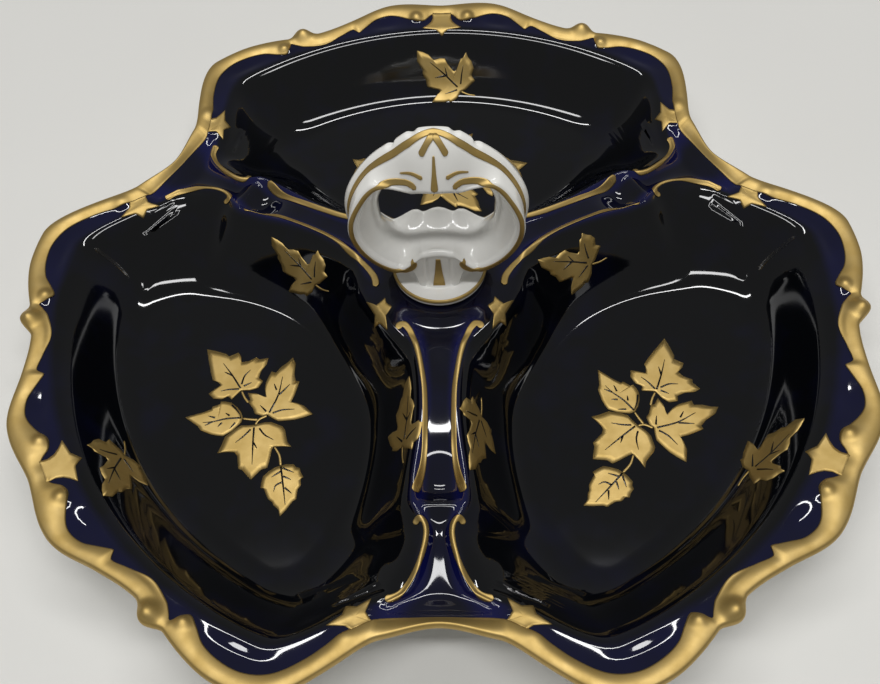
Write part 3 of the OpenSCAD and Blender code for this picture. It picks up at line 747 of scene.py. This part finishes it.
LEFT_LEAF = [(-5.3, 0.9), (-6.3, 3.3), (-8.0, 5.5), (-10.5, 7.4), (-12.8, 8.0), (-14.7, 8.0), (-14.5, 7.0),
             (-17.7, 5.8), (-17.9, 4.7), (-21.1, 3.3), (-23.2, 2.7), (-27.6, 1.3), (-24.9, -0.6),
             (-22.1, -2.6), (-20.9, -4.3), (-16.5, -6.1), (-14.2, -6.6), (-12.0, -6.8), (-9.0, -4.8),
             (-5.8, -1.2)]
LOWER_LEAF = [(-0.2, -2.1), (-3.4, -2.4), (-5.6, -2.4), (-7.7, -3.8), (-11.2, -7.2), (-11.6, -8.8),
              (-12.2, -11.2), (-13.2, -13.9), (-11.1, -13.5), (-8.3, -13.4), (-6.8, -13.6), (-5.5, -15.2),
              (-5.1, -17.5), (-4.5, -20.4), (-3.1, -20.8), (-1.1, -23.0), (0.6, -24.7), (2.1, -23.0),
              (4.0, -20.7), (6.2, -20.0), (6.7, -17.2), (7.1, -13.0), (7.5, -11.4), (11.3, -11.3),
              (14.4, -11.5), (12.7, -9.5), (12.0, -7.1), (11.4, -4.6), (10.3, -3.0), (7.8, -1.9),
              (5.9, -1.1), (3.7, -1.1), (1.9, -1.5)]
LAST_LEAF = [(11.1, -19.2), (13.0, -18.7), (15.9, -18.7), (16.9, -19.9), (18.3, -20.3), (18.8, -22.0),
             (19.9, -23.7), (18.9, -24.7), (19.3, -26.9), (18.2, -28.8), (18.0, -32.5), (16.8, -33.3),
             (14.7, -36.6), (12.7, -39.1), (11.9, -36.5), (9.9, -34.7), (9.4, -33.6), (7.7, -32.4),
             (6.8, -30.6), (5.7, -28.1), (4.6, -28.1), (4.6, -26.1), (5.0, -23.4), (6.9, -21.5),
             (9.2, -19.8)]
# Each leaf of the spray with a point well inside it
SPRAY = [(UPPER_LEAF, (-9.8, 16.5)), (RIGHT_LEAF, (5.0, 7.8)), (LEFT_LEAF, (-14.8, 0.5)),
         (LOWER_LEAF, (0.1, -7.7)), (LAST_LEAF, (12.1, -27.2))]
SPRAY_VEINS = [[(-7.8, 13.9), (-11.9, 20.0), (-16.0, 25.3)], [(-11.6, 19.6), (-14.9, 21.2)],
               [(-7.6, 15.6), (-6.7, 19.5), (-4.8, 22.1)], [(-6.6, 14.8), (-3.7, 16.4)],
               [(-8.3, 13.5), (-12.4, 13.3), (-15.3, 12.7)], [(4.6, 3.0), (7.3, 10.7), (8.2, 18.9)],
               [(6.4, 12.9), (5.2, 15.7)], [(7.7, 10.8), (11.4, 15.4)], [(3.4, 3.5), (0.7, 6.2)],
               [(5.9, 2.8), (9.1, 4.0), (14.2, 4.4)],
               [(-6.0, 0.9), (-11.9, 0.5), (-16.8, -0.7), (-20.5, -1.0)],
               [(-10.2, 6.5), (-7.4, 3.4), (-6.1, 1.3)], [(-10.5, 1.8), (-12.2, 3.0)],
               [(-16.0, 1.0), (-18.7, 1.8)], [(-13.1, -1.1), (-14.5, -2.9)],
               [(-16.8, -0.7), (-19.5, -2.3)], [(-8.0, -1.2), (-9.8, -3.8)],
               [(-0.6, -3.3), (-0.3, -9.3), (0.4, -18.7)], [(-0.1, -9.7), (1.5, -12.1)],
               [(-1.8, -4.1), (-3.7, -6.5), (-6.9, -9.6)], [(1.5, -3.7), (3.5, -6.2), (7.4, -8.6)],
               [(11.2, -19.6), (12.4, -25.4), (14.2, -34.7)], [(11.5, -21.4), (8.2, -23.8)],
               [(11.9, -20.2), (16.2, -22.0)], [(12.5, -25.7), (10.0, -27.2), (9.5, -29.5)],
               [(12.4, -23.5), (15.4, -24.8)], [(13.4, -28.0), (16.2, -30.3)]]
STEMS = [[(-7.2, 12.6), (-5.6, 9.6), (-3.9, 7.4)], [(-5.3, 0.6), (-2.3, 0.2), (0.5, 0.0)],
         [(-0.2, -2.1), (0.7, -0.2), (3.8, 1.8)], [(7.9, -11.4), (10.0, -14.6), (11.1, -19.2)]]
WALL_LEAF = [(-0.7, 0.2), (-1.1, 3.9), (0.0, 7.5), (1.3, 7.6), (2.7, 9.5), (4.9, 11.2), (7.1, 12.9),
             (7.4, 11.9), (7.8, 9.3), (7.3, 5.7), (8.6, 5.5), (11.1, 6.8), (13.5, 7.8), (15.4, 6.0),
             (17.9, 5.2), (18.7, 3.9), (22.5, 3.1), (24.5, 0.0), (22.1, -1.4), (19.6, -2.3), (16.6, -2.2),
             (14.8, -4.4), (12.7, -5.9), (10.5, -5.0), (6.7, -4.6), (5.8, -5.8), (6.6, -10.1),
             (5.9, -11.0), (5.8, -13.4), (4.0, -12.5), (1.6, -12.1), (-0.5, -10.7), (-1.1, -8.0),
             (-3.6, -7.4), (-2.7, -4.6), (-2.1, -2.2)]
WALL_VEINS = [[(1.8, -0.7), (8.5, -1.1), (17.5, -0.5)], [(1.3, 0.4), (4.8, 5.4)],
              [(1.3, -2.5), (3.1, -6.0), (4.2, -8.8)], [(9.0, -1.0), (12.5, 2.6)],
              [(8.0, -1.0), (11.0, -3.4)]]
WALL_STEM = [(-0.6, 0.0), (-4.4, -0.8), (-7.6, -2.2)]
LEAF_STEPS, LEAF_MIDDLE, VEIN_FILM = 4, (5.0, 0), 0.1


def vein(points):
    """A dark vein: a thin stroke that ends in a point."""
    return stroke(points, [0.36, 0.3, 0.1], 16, 3, round_ends=False)


print("spray of", len(SPRAY), "leaves with", len(SPRAY_VEINS), "veins")


# %% Sprays on the floors
def placed(plan, x, y, angle):
    """A plan shape turned by an angle and moved to a place."""
    return turned_plan(plan, angle) + np.array([x, y])


SPRAY_PLACES = [(-70.6, -45.6, 0), (75.3, -48.6, -55), (-1.0, 79.5, 240)]
leaf_plans, vein_plans, stem_plans = [], [], []
for place in SPRAY_PLACES:
    leaf_plans += [placed(filled(corners_to_outline(leaf, LEAF_STEPS), mid), *place) for leaf, mid in SPRAY]
    vein_plans += [placed(vein(points), *place) for points in SPRAY_VEINS]
    stem_plans += [placed(stroke(stem, [0.35, 0.5], 16, 3), *place) for stem in STEMS]


# %% Leaves on the walls
def on_slope(plan, x, y, angle):
    """Plan of a shape laid on a slope at (x, y): its height axis is foreshortened by the face's slope."""
    step = 1.0
    gx = (face_at(x + step, y) - face_at(x - step, y)) / (2 * step)
    gy = (face_at(x, y + step) - face_at(x, y - step)) / (2 * step)
    normal = np.array([-gx, -gy, 1.0])
    normal /= np.linalg.norm(normal)
    out = np.array([x, y, 0]) / np.hypot(x, y)
    up_slope = out - normal * (out @ normal)
    up_slope /= np.linalg.norm(up_slope)
    level = np.cross(up_slope, normal)
    flat = turned_plan(plan, angle)
    return np.array([x, y]) + flat[..., :1] * level[:2] + flat[..., 1:] * up_slope[:2]


# Base of each leaf and the direction of its middle lobe, with the slope up and outwards as 90 degrees
WALL_PLACES = [(8.1, 127.8, 147), (-115.6, -64.1, 142), (110.0, -70.6, 150.8), (-13.0, -67.4, -89),
               (14.5, -55.7, 66), (-50.8, 8.1, 60), (59.4, 14.7, -104)]
for place in WALL_PLACES:
    leaf_plans.append(on_slope(filled(corners_to_outline(WALL_LEAF, LEAF_STEPS), LEAF_MIDDLE), *place))
    vein_plans += [on_slope(vein(points), *place) for points in WALL_VEINS]
    stem_plans.append(on_slope(stroke(WALL_STEM, [0.4, 0.3], 14, 3), *place))
gild("gold_leaves", leaf_plans, close_m=True)
gild("leaf_stems", stem_plans)
gild("leaf_veins", vein_plans, LIFT + FILM / 2 + VEIN_FILM / 2, finish=cobalt, film=VEIN_FILM)

# %% [markdown]
# ## Foot rings
# The dish stands on three low rings, one under each well. A ring follows the outline of the well, drawn in by
# an inset, and its section is a strip with rounded edges. It is left without glaze, which would stick to the
# shelf of the kiln, so the porcelain's bare biscuit shows.

# %% Biscuit
# Dust and wear in specks of 2 mm: a foot that has been slid over tables is a little grey
biscuit = clouded("unglazed_porcelain_biscuit", 2, ("#c9c4b8", "#e4e0d6"), detail=4.0, IOR=GLAZE_IOR,
                  Roughness=0.8)

# %% Foot rings
FOOT_CORNER, ARC_STEPS = 12.0, 60
# Section of the ring as (inset, height)
FOOT_SECTION = [(7.0, 4.5), (6.0, 4.0), (6.0, 1.0), (6.3, 0.3), (7.0, 0), (8.5, 0), (9.2, 0.3), (9.5, 1.0),
                (9.5, 4.0), (8.5, 4.5)]


def well_plan(inset):
    """Outline of a well drawn in by an inset: arcs round the well's centre and the hub, and two corners."""
    round_r, out_r, corner = WELL_R - inset, FLOOR_OUT - inset, FOOT_CORNER - inset
    reach, swing = out_r - corner, round_r - corner
    cy = (reach ** 2 - swing ** 2 + WELL_C ** 2) / (2 * WELL_C)
    cx = np.sqrt(reach ** 2 - cy ** 2)
    low, high = np.degrees(np.arctan2(cy - WELL_C, cx)), np.degrees(np.arctan2(cy, cx))
    arcs = [(cx, cy, corner, low, high), (0, 0, out_r, high, 180 - high),
            (-cx, cy, corner, 180 - high, 180 - low), (0, WELL_C, round_r, 180 - low, 360 + low)]
    runs = []
    for x, y, r, start, end in arcs:
        a = between(start, end, np.arange(ARC_STEPS) / ARC_STEPS)
        runs.append(np.stack([x + r * cosd(a), y + r * sind(a)], -1))
    return np.concatenate(runs)


insets, heights = np.transpose(FOOT_SECTION)
ring_plans = np.stack([well_plan(inset) for inset in insets])
heights = np.broadcast_to(heights[:, None, None], (*ring_plans.shape[:2], 1))
grids = []
for lobe in LOBES:
    grids.append((np.concatenate([turned_plan(ring_plans, lobe - 90), heights], -1), True, True, 0))
make_piece("foot_rings", grids, [biscuit])

# %% [markdown]
# ## The fixing
# A brass stud, cemented into the handle, comes down through the hub and takes a nut with two washers. Only
# its end shows, under the dish. The thread is a helix: the radius follows a triangle wave of the height and
# the angle. The nut is a hexagon whose corners are cut by a cone. The washers and the cement are the CAD
# part's own, and get their finishes here.

# %% Brass
# Tarnish in patches of 3 mm darkens the metal and takes its shine
brass = clouded("machined_yellow_brass", 3, ("#8f7440", "#d3b46c"), rough=(0.5, 0.25), Metallic=1.0)

# %% Stud
STUD_R, STUD_LOW, STUD_TOP, PITCH, THREAD, CHAMFER = 3.0, 21.3, 51.0, 1.0, 0.54, 0.7
# Radius at which a surface closes on its axis
POLE = 0.001
a = np.arange(40) * 9.0
z = np.linspace(STUD_LOW, STUD_TOP, 330)[:, None]
wave = np.abs(np.mod(z / PITCH - a / 360, 1) * 2 - 1)
cone = STUD_R - CHAMFER + np.minimum(z - STUD_LOW, STUD_TOP - z)
r = np.minimum(STUD_R - THREAD * (1 - wave), cone)
ends = ((1, 1), (0, 0))
stud = polar(np.pad(r, ends, constant_values=POLE), a, np.pad(z, ends, mode="edge"))
make_piece("handle_stud", [(stud, False, True, 0)], [brass], ["handle_stud"])

# %% Nut
NUT_LOW, NUT_TOP, NUT_FLAT, NUT_BORE, NUT_FACE = 24.3, 29.3, 5.0, 3.05, 4.75
a = np.arange(120) * 3.0
hexagon = NUT_FLAT / cosd(np.mod(a, 60) - 30)
cut = (hexagon - NUT_FACE) * sind(30)
r = np.stack(np.broadcast_arrays(NUT_BORE, NUT_FACE, hexagon, hexagon, NUT_FACE, NUT_BORE))
z = np.stack(np.broadcast_arrays(NUT_LOW, NUT_LOW, NUT_LOW + cut, NUT_TOP - cut, NUT_TOP, NUT_TOP))
make_piece("stud_nut", [(polar(r, a, z), True, True, 0)], [brass], ["stud_nut"], rounded=False)

# %% Cement, cork and rubber
# Grains of 0.8 mm in the mixed plaster
plaster = clouded("set_plaster_cement", 0.8, ("#b9b1a2", "#dcd6c9"), Roughness=0.9)
# Bloom: grey clouds of 4 mm on the aged rubber
rubber = clouded("black_rubber_sheet", 4, ("#151515", "#33322f"), Roughness=0.7)
# Granules of about 1.5 mm in the cork, darker where they meet
cork, tree, shader = new_finish("pressed_cork_sheet", Roughness=0.85)
place = add(tree, "TexCoord").outputs["Object"]
granules = add(tree, "TexVoronoi", {"Vector": place, "Scale": per_mm(1.5)}).outputs["Distance"]
tone = add(tree, "Mix", {0: granules, 6: hue("#b58a5a"), 7: hue("#6b4728")}, data_type="RGBA")
tree.links.new(tone.outputs[2], shader.inputs["Base Color"])
dressed = {"stud_cement": plaster, "handle_washer": cork, "hub_washer": rubber, "nut_washer": brass}
for node, finish in dressed.items():
    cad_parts[node].material_slots[0].material = finish
    print(node, "is", finish.name)

# %% [markdown]
# ## The handle
# The handle is cast in white porcelain: a loop whose section changes on its way round, standing on a round
# foot. At the top it is pointed and roofed, with a hood that hangs into the opening, and at the bottom it
# opens into a scalloped shell between two scrolls. The loop is a closed grid of sections round the turn;
# its crown reaches down into the foot as a neck. The foot is a profile carried round the axis.

# %% Handle form
LOOP_Z, HANDLE_Z, ROLL_R = 79.0, 41.0, 1.8
CROWN = [(0, 33.5), (12, 33.1), (27, 30.6), (60, 29.8), (90, 31.4), (118, 32.1), (180, 29.7)]
RIDGE = [(0, 1.4), (25, 2.0), (60, 3.2), (90, 4.5), (180, 4.5)]
DEPTH = [(0, 9.4), (42, 7.6), (95, 9.7), (140, 9.6), (180, 8.9)]
MOUTH = [(0, 23.6), (36, 24.3), (49, 25.7), (62, 26.3), (80, 27.2), (100, 28.6), (140, 28.9), (180, 29.0)]
BACK_MOUTH = [(0, 23.6), (42, 22.4), (60, 23.6), (80, 26.4), (100, 28.6), (140, 28.9), (180, 29.0)]
SHELL_LIP = [(0, 16.1), (9, 17.1), (17, 19.4), (24, 19.3), (30, 20.3)]
FRONT_LIP = [(0, 16.8), (9, 17.2), (17, 18.3), (24, 19.3), (30, 20.3)]
THROAT = [(0, 20), (95, 20), (140, 23.0), (180, 18.0)]
HOOD, HOOD_END, HOOD_FADE, SHELL_END, FADE = 6.6, 26, 24, 28, 14
# Where the lip of the shell ends and over how many degrees it runs out: at the front, and at the back
LIP_FRONT, LIP_BACK = (18, 14), (28, 10)
NECK_R, NECK_HALF, NECK_FADE, NECK_DEEP, NECK_ROUND = 36.5, 11.4, 9.0, 12.0, 1.5
GROOVE_X, GROOVE, NICK, NICKS_AT, NICK_HALF = 4.3, 0.45, 1.1, (12, 27), 4
RIDGE_DROP, ROOF_POWER, BOWL_POWER = 0.4, 1.5, 2.2
FLUTE, FLUTE_TURNS, FLUTE_AT, FLUTE_RUN = 0.3, 11, 138, 15
# Depth well past the crest: the nicks are whole there at the back and gone at the front
SIDE_Y = 9


def neck_share(t):
    """1 where the crown reaches down into the foot as a neck, and 0 beside it."""
    return 1 - smooth((180 - t - NECK_HALF) / NECK_FADE)


def shell_share(t):
    """1 on the shell at the bottom of the loop, and 0 away from it."""
    return 1 - smooth((180 - t - SHELL_END) / FADE)


def crown_r(t, y=0.0):
    """Outer radius of the loop at the angle t from its top; nicks cross the crest, but not its front edge."""
    nicks = NICK * smooth(y / 2 + 0.9) * sum(bump((t - at) / NICK_HALF) for at in NICKS_AT)
    return between(curve(CROWN, t) - nicks, NECK_R, neck_share(t))


def ridge_r(t, y):
    """Radius of the ridge on the side y of the crown, a little lower than its crest."""
    return crown_r(t, y) - RIDGE_DROP * curve(RIDGE, t)


def ridge_half(t):
    """Half the spacing of the two ridges on the crown, which widen to the whole depth of the neck."""
    neck = NECK_DEEP - NECK_ROUND * ((180 - t) / NECK_HALF) ** 2
    return between(curve(RIDGE, t), neck, neck_share(t))


def rolled_r(t, y):
    """Radius of the rolled edges: the mouth, drawn in by the hood at the top and the shell at the bottom."""
    mouth = (np.where(y < 0, curve(MOUTH, t), curve(BACK_MOUTH, t))
             - HOOD * (1 - smooth((t - HOOD_END) / HOOD_FADE)))
    end, fade = (np.where(y < 0, front, back) for front, back in zip(LIP_FRONT, LIP_BACK))
    lip = np.where(y < 0, curve(FRONT_LIP, 180 - t), curve(SHELL_LIP, 180 - t))
    return between(lip, mouth, smooth((180 - t - end) / fade))


def roll_start(t):
    """Angle at which the rolled edge takes over from the outer face: late on the hood and under the shell."""
    return between(25, 90, smooth((t - HOOD_END) / HOOD_FADE) * (1 - shell_share(t)))


def face_end(t):
    """Depth at which the outer face ends and the rolled edge takes over."""
    return curve(DEPTH, t) + ROLL_R * cosd(roll_start(t))


def edge_r(t, y):
    """Radius at which the outer face ends and the rolled edge takes over."""
    return rolled_r(t, y) + ROLL_R * sind(roll_start(t))


def face_depth(share, t):
    """Depth of the outer face at a share of the way from a ridge of the crown to the rolled edge.

    It grows evenly, but under the shell it is full almost at once, so that the face there is upright.
    """
    end = face_end(t)
    return between(between(ridge_half(t), end, share), end, shell_share(t) * smooth(share / 0.3))


def outer_fall(share, y, t):
    """Radius of the outer face: a roof that falls from ridge to rolled edge with a power of the share."""
    return between(ridge_r(t, y), edge_r(t, y), share ** ROOF_POWER)


def inner_r(y, t):
    """Inner face: waisted half way through, and a flat bowl at the bottom, softly fluted like a shell."""
    h = curve(DEPTH, t)
    flutes = FLUTE * np.cos(np.radians((180 - t) * FLUTE_TURNS)) * smooth((t - FLUTE_AT) / FLUTE_RUN)
    waist = between(curve(THROAT, t), rolled_r(t, y) - ROLL_R, np.abs(y / h) ** BOWL_POWER)
    return waist + flutes * (1 - (y / h) ** 4)


def groove(r, t):
    """Depth of the two upright grooves on the panel under the shell, at the radius r."""
    aside = bump(r * sind(180 - t) - GROOVE_X)
    return GROOVE * aside * shell_share(t) * smooth((r - rolled_r(t, -1)) / 3)


def on_loop(r, y, turn):
    """Points at the radius r from the loop's centre, at an angle from its top and a depth y."""
    return np.stack([r * sind(turn), y, LOOP_Z + r * cosd(turn)], -1)


print("loop is", (2 * crown_r(np.array(90.0))).round(1), "mm wide")

# %% Handle loop
LOOP_COLUMNS, CREST_STEPS, FACE_STEPS, INNER_STEPS, EDGE_STEPS = 480, 9, 32, 44, 10
turn = np.arange(LOOP_COLUMNS)[:, None] * 360 / LOOP_COLUMNS
t = np.abs(np.mod(turn + 180, 360) - 180)
w, h = ridge_half(t), curve(DEPTH, t)
crest_y = w * np.linspace(-1, 1, CREST_STEPS + 2)[1:-1]
crest = crown_r(t, crest_y) - RIDGE_DROP * curve(RIDGE, t) * (crest_y / w) ** 2
share = np.linspace(0, 1, FACE_STEPS)
front_face, back_face = outer_fall(share, -w, t), outer_fall(share, w, t)
depth = face_depth(share, t) - groove(front_face, t)
a = between(roll_start(t), -90, np.linspace(0, 1, EDGE_STEPS + 2)[1:-1])
roll_r, roll_y = ROLL_R * sind(a), ROLL_R * cosd(a)
y_in = h * np.linspace(1, -1, INNER_STEPS)
section_r = np.concatenate([front_face[:, ::-1], crest, back_face, rolled_r(t, 1) + roll_r, inner_r(y_in, t),
                            (rolled_r(t, -1) + roll_r)[:, ::-1]], 1)
section_y = np.concatenate([-depth[:, ::-1], crest_y, depth, h + roll_y, y_in, (-h - roll_y)[:, ::-1]], 1)
loop = on_loop(section_r, section_y, turn)
print("loop of", loop.shape[0], "sections with", loop.shape[1], "points each")


# %% Foot of the handle
def turned_profile(profile, count=128):
    """Lathe work: each point (r, z) of a profile goes round the axis."""
    p = np.asarray(profile, float)
    return polar(p[:, :1], np.arange(count) * 360 / count, p[:, 1:])


FOOT_R, FOOT_EDGE, FOOT_DOME, SOCKET_R, SOCKET_H = 17.4, 3.0, 1.9, 5.0, 3.0
BOSS_R, BOSS_H, BOSS_FADE, HEEL_R = 12.5, 2.0, 3.5, 1.0


def foot_round(z, low, high, radius=HEEL_R):
    """Arc of the foot's rounded edge, from a low to a high angle round a centre at the height z."""
    a = np.linspace(low, high, 7)
    return np.stack([FOOT_R - HEEL_R + radius * cosd(a), z + radius * sind(a)], -1)


heel, toe = foot_round(HEEL_R, -90, 0), foot_round(FOOT_EDGE - HEEL_R, 0, 75)
r = np.linspace(toe[-1, 0] - 0.3, POLE, 36)
boss = BOSS_H * smooth((BOSS_R - r) / BOSS_FADE)
dome = np.stack([r, toe[-1, 1] + 0.08 + FOOT_DOME * (1 - (r / r[0]) ** 2) + boss], -1)
socket = [(POLE, SOCKET_H), (SOCKET_R, SOCKET_H), (SOCKET_R, 0)]
foot = np.concatenate([socket, heel, toe, dome]) + np.array([0, HANDLE_Z])
make_piece("handle", [(loop, True, True, 0), (turned_profile(foot), False, True, 0)], [white],
           ["handle"])

# %% [markdown]
# ## Gold lines on the handle
# The decorator followed the moulding: a line along the front ridge of the crown, a C on each side of the
# opening, a chevron and a line on the hood, two short strokes beside it, a bar under the shell and a ring
# round the foot. Apart from the ridge and the chevron, the back is drawn like the front.


# %% Handle lines
LINE_FILM, RING_LIFT = 0.2, 0.12


def front_y(r, t, face):
    """Depth of the loop's face at the radius r: the roofed face turned round, or the rolled edge's circle."""
    top, edge, rolled = ridge_r(t, face * SIDE_Y), edge_r(t, face), rolled_r(t, face)
    share = np.clip((top - r) / np.maximum(top - edge, 1e-6), 0, 1) ** (1 / ROOF_POWER)
    off = np.clip(r - rolled, -ROLL_R, ROLL_R)
    roll = curve(DEPTH, t) + np.sqrt(ROLL_R ** 2 - off ** 2)
    return np.where(r >= edge, face_depth(share, t) - groove(r, t), roll)


def on_front(plan, face):
    """Lays places (x, z) on the front or the back of the loop, with z counted from the loop's centre."""
    x, z = plan[..., 0], plan[..., 1]
    y = front_y(np.hypot(x, z), np.abs(np.degrees(np.arctan2(x, z))), face)
    return np.stack([x, face * (y + LIFT), LOOP_Z + z], -1)


C_LINE = [(22.2, 18.4), (20.8, 19.1), (23, 20.4), (29.2, 21.7), (36, 23.2), (43, 24.7), (50, 25.9),
          (57, 26.4), (65, 26.7), (76, 27.5), (86, 28.4), (98, 28.9), (120, 29.1), (138, 29.0),
          (149, 28.4), (155, 26.8), (158, 24.6), (157.8, 22.6), (155.2, 21.7)]
c_line = [(r * sind(a), r * cosd(a)) for a, r in C_LINE]
CHEVRON = [(0, 33.3), (1.85, 31.4), (4.2, 28.0)]
LID = [(11.0, 21.6), (7.1, 22.3), (3.7, 21.3)]
both = [stroke([(0, 28.2), (0, 23), (0, 17.2)], [0.35, 0.7, 1.3], 30, 7),
        stroke([(0, -18.6), (0, -26), (0, -33.4)], [0.8, 1.3, 2.2], 40, 9, round_ends=False)]
front = []
for side in (-1, 1):
    mirror = np.array([side, 1])
    both += [stroke(c_line, [1.1, 0.75, 0.7, 0.9, 0.8, 1.1], 150) * mirror,
             stroke(LID, [0.2, 0.5, 0.7], 24) * mirror]
    front.append(stroke(CHEVRON, [0.9, 0.9, 1.0], 24) * mirror)
grids = [(on_front(plan, -1), False, False, 0) for plan in front + both]
grids += [(on_front(plan, 1), False, False, 0) for plan in both]
# The ridge's line is drawn to a point at the top, where it comes in over the crest
RIDGE_LINE, RIDGE_END, POINT_IN, POINT_RUN = 0.95, 96, 1.1, 14
turn = np.linspace(-RIDGE_END, RIDGE_END, 181)[:, None]
a = np.abs(turn)
half = RIDGE_LINE * np.sqrt(np.clip(1 - (a / (RIDGE_END + 1)) ** 8, 0.01, 1))
share = 0.02 + 0.11 * smooth((a + 4) / 20) * (1 - smooth((a - 25) / 50))
y = face_depth(share, a) - POINT_IN * np.clip(1 - a / POINT_RUN, 0, 1) + np.linspace(-1, 1, 7) * half
on = np.clip((y - ridge_half(a)) / (face_end(a) - ridge_half(a)), 0, 1)
crest = RIDGE_DROP * curve(RIDGE, a) * (1 - np.minimum(y / ridge_half(a), 1) ** 2)
r = outer_fall(on, -SIDE_Y, a) + crest + LIFT
grids.append((on_loop(r, -y, turn), False, False, 0))
foot_ring = foot_round(HANDLE_Z + FOOT_EDGE - HEEL_R, 5, 75, HEEL_R + RING_LIFT)
grids.append((turned_profile(foot_ring), False, True, 0))
make_piece("handle_gold_lines", grids, [gold], film=LINE_FILM)

# %% [markdown]
# ## Stage, light and camera
# The dish stands on a pale table. Two long strip lamps hang over it, side by side, and the room around is
# an even grey. The camera stands in front, high above the table, as the photographer did.

# %% Stage
# Soft clouds of 120 mm keep the table from looking like one flat colour
table = clouded("pale_table_top", 120, ("#dcdbd7", "#e2e1dd"), detail=2.0, Roughness=0.6)
TABLE_HALF = 3.0
corners = np.array([(-1, -1, 0), (1, -1, 0), (1, 1, 0), (-1, 1, 0)], float) * TABLE_HALF
mesh = bpy.data.meshes.new("table_top")
mesh.from_pydata(corners.tolist(), [], [(0, 1, 2, 3)])
mesh.materials.append(table)
floor = put("table_top", mesh)

# %% Lamps and room
LAMP_LONG, LAMP_HIGH, LAMP_POWER, ROOM_LIGHT = 1.5, 1.5, 9.8, 0.4
for name, y, wide in (("strip_lamp_front", -0.35, 0.12), ("strip_lamp_back", 0.34, 0.06)):
    lamp = bpy.data.lights.new(name, "AREA")
    lamp.shape = "RECTANGLE"
    lamp.size, lamp.size_y = LAMP_LONG, wide
    lamp.energy = LAMP_POWER
    put(name, lamp).location = (0, y, LAMP_HIGH)
    print(name, "hangs", LAMP_HIGH, "m up")
room = bpy.data.worlds.new("grey_room")
bpy.context.scene.world = room
room.use_nodes = True
room.node_tree.nodes["Background"].inputs["Color"].default_value = hue("#c4c4c2")
room.node_tree.nodes["Background"].inputs["Strength"].default_value = ROOM_LIGHT
bpy.context.scene.view_settings.view_transform = "Standard"

# %% Camera
PHOTO_W, SENSOR = 880, 36.0
AZIMUTH, ELEVATION, ROLL, FOCAL_PX = 2.903, 57.518, -3.156, 931.79
OFFSET = np.array([-0.147, -23.58, 355.542])
EYE_LEVEL = 33.5
back = np.array([sind(AZIMUTH) * cosd(ELEVATION), -cosd(AZIMUTH) * cosd(ELEVATION), sind(ELEVATION)])
right = np.array([cosd(AZIMUTH), sind(AZIMUTH), 0])
up = np.cross(back, right)
turned = np.stack([right * cosd(ROLL) + up * sind(ROLL), up * cosd(ROLL) - right * sind(ROLL), back])
spot = OFFSET @ turned + HUB + np.array([0, 0, EYE_LEVEL])
lens = bpy.data.cameras.new("camera")
lens.sensor_width = SENSOR
lens.lens = FOCAL_PX * SENSOR / PHOTO_W
lens.clip_start = 0.01
camera = put("camera", lens)
matrix = np.eye(4)
matrix[:3, :3] = turned.T
matrix[:3, 3] = spot * MM
camera.matrix_world = Matrix(matrix.tolist())
bpy.context.scene.camera = camera
print("camera at", spot.round(1), "mm")
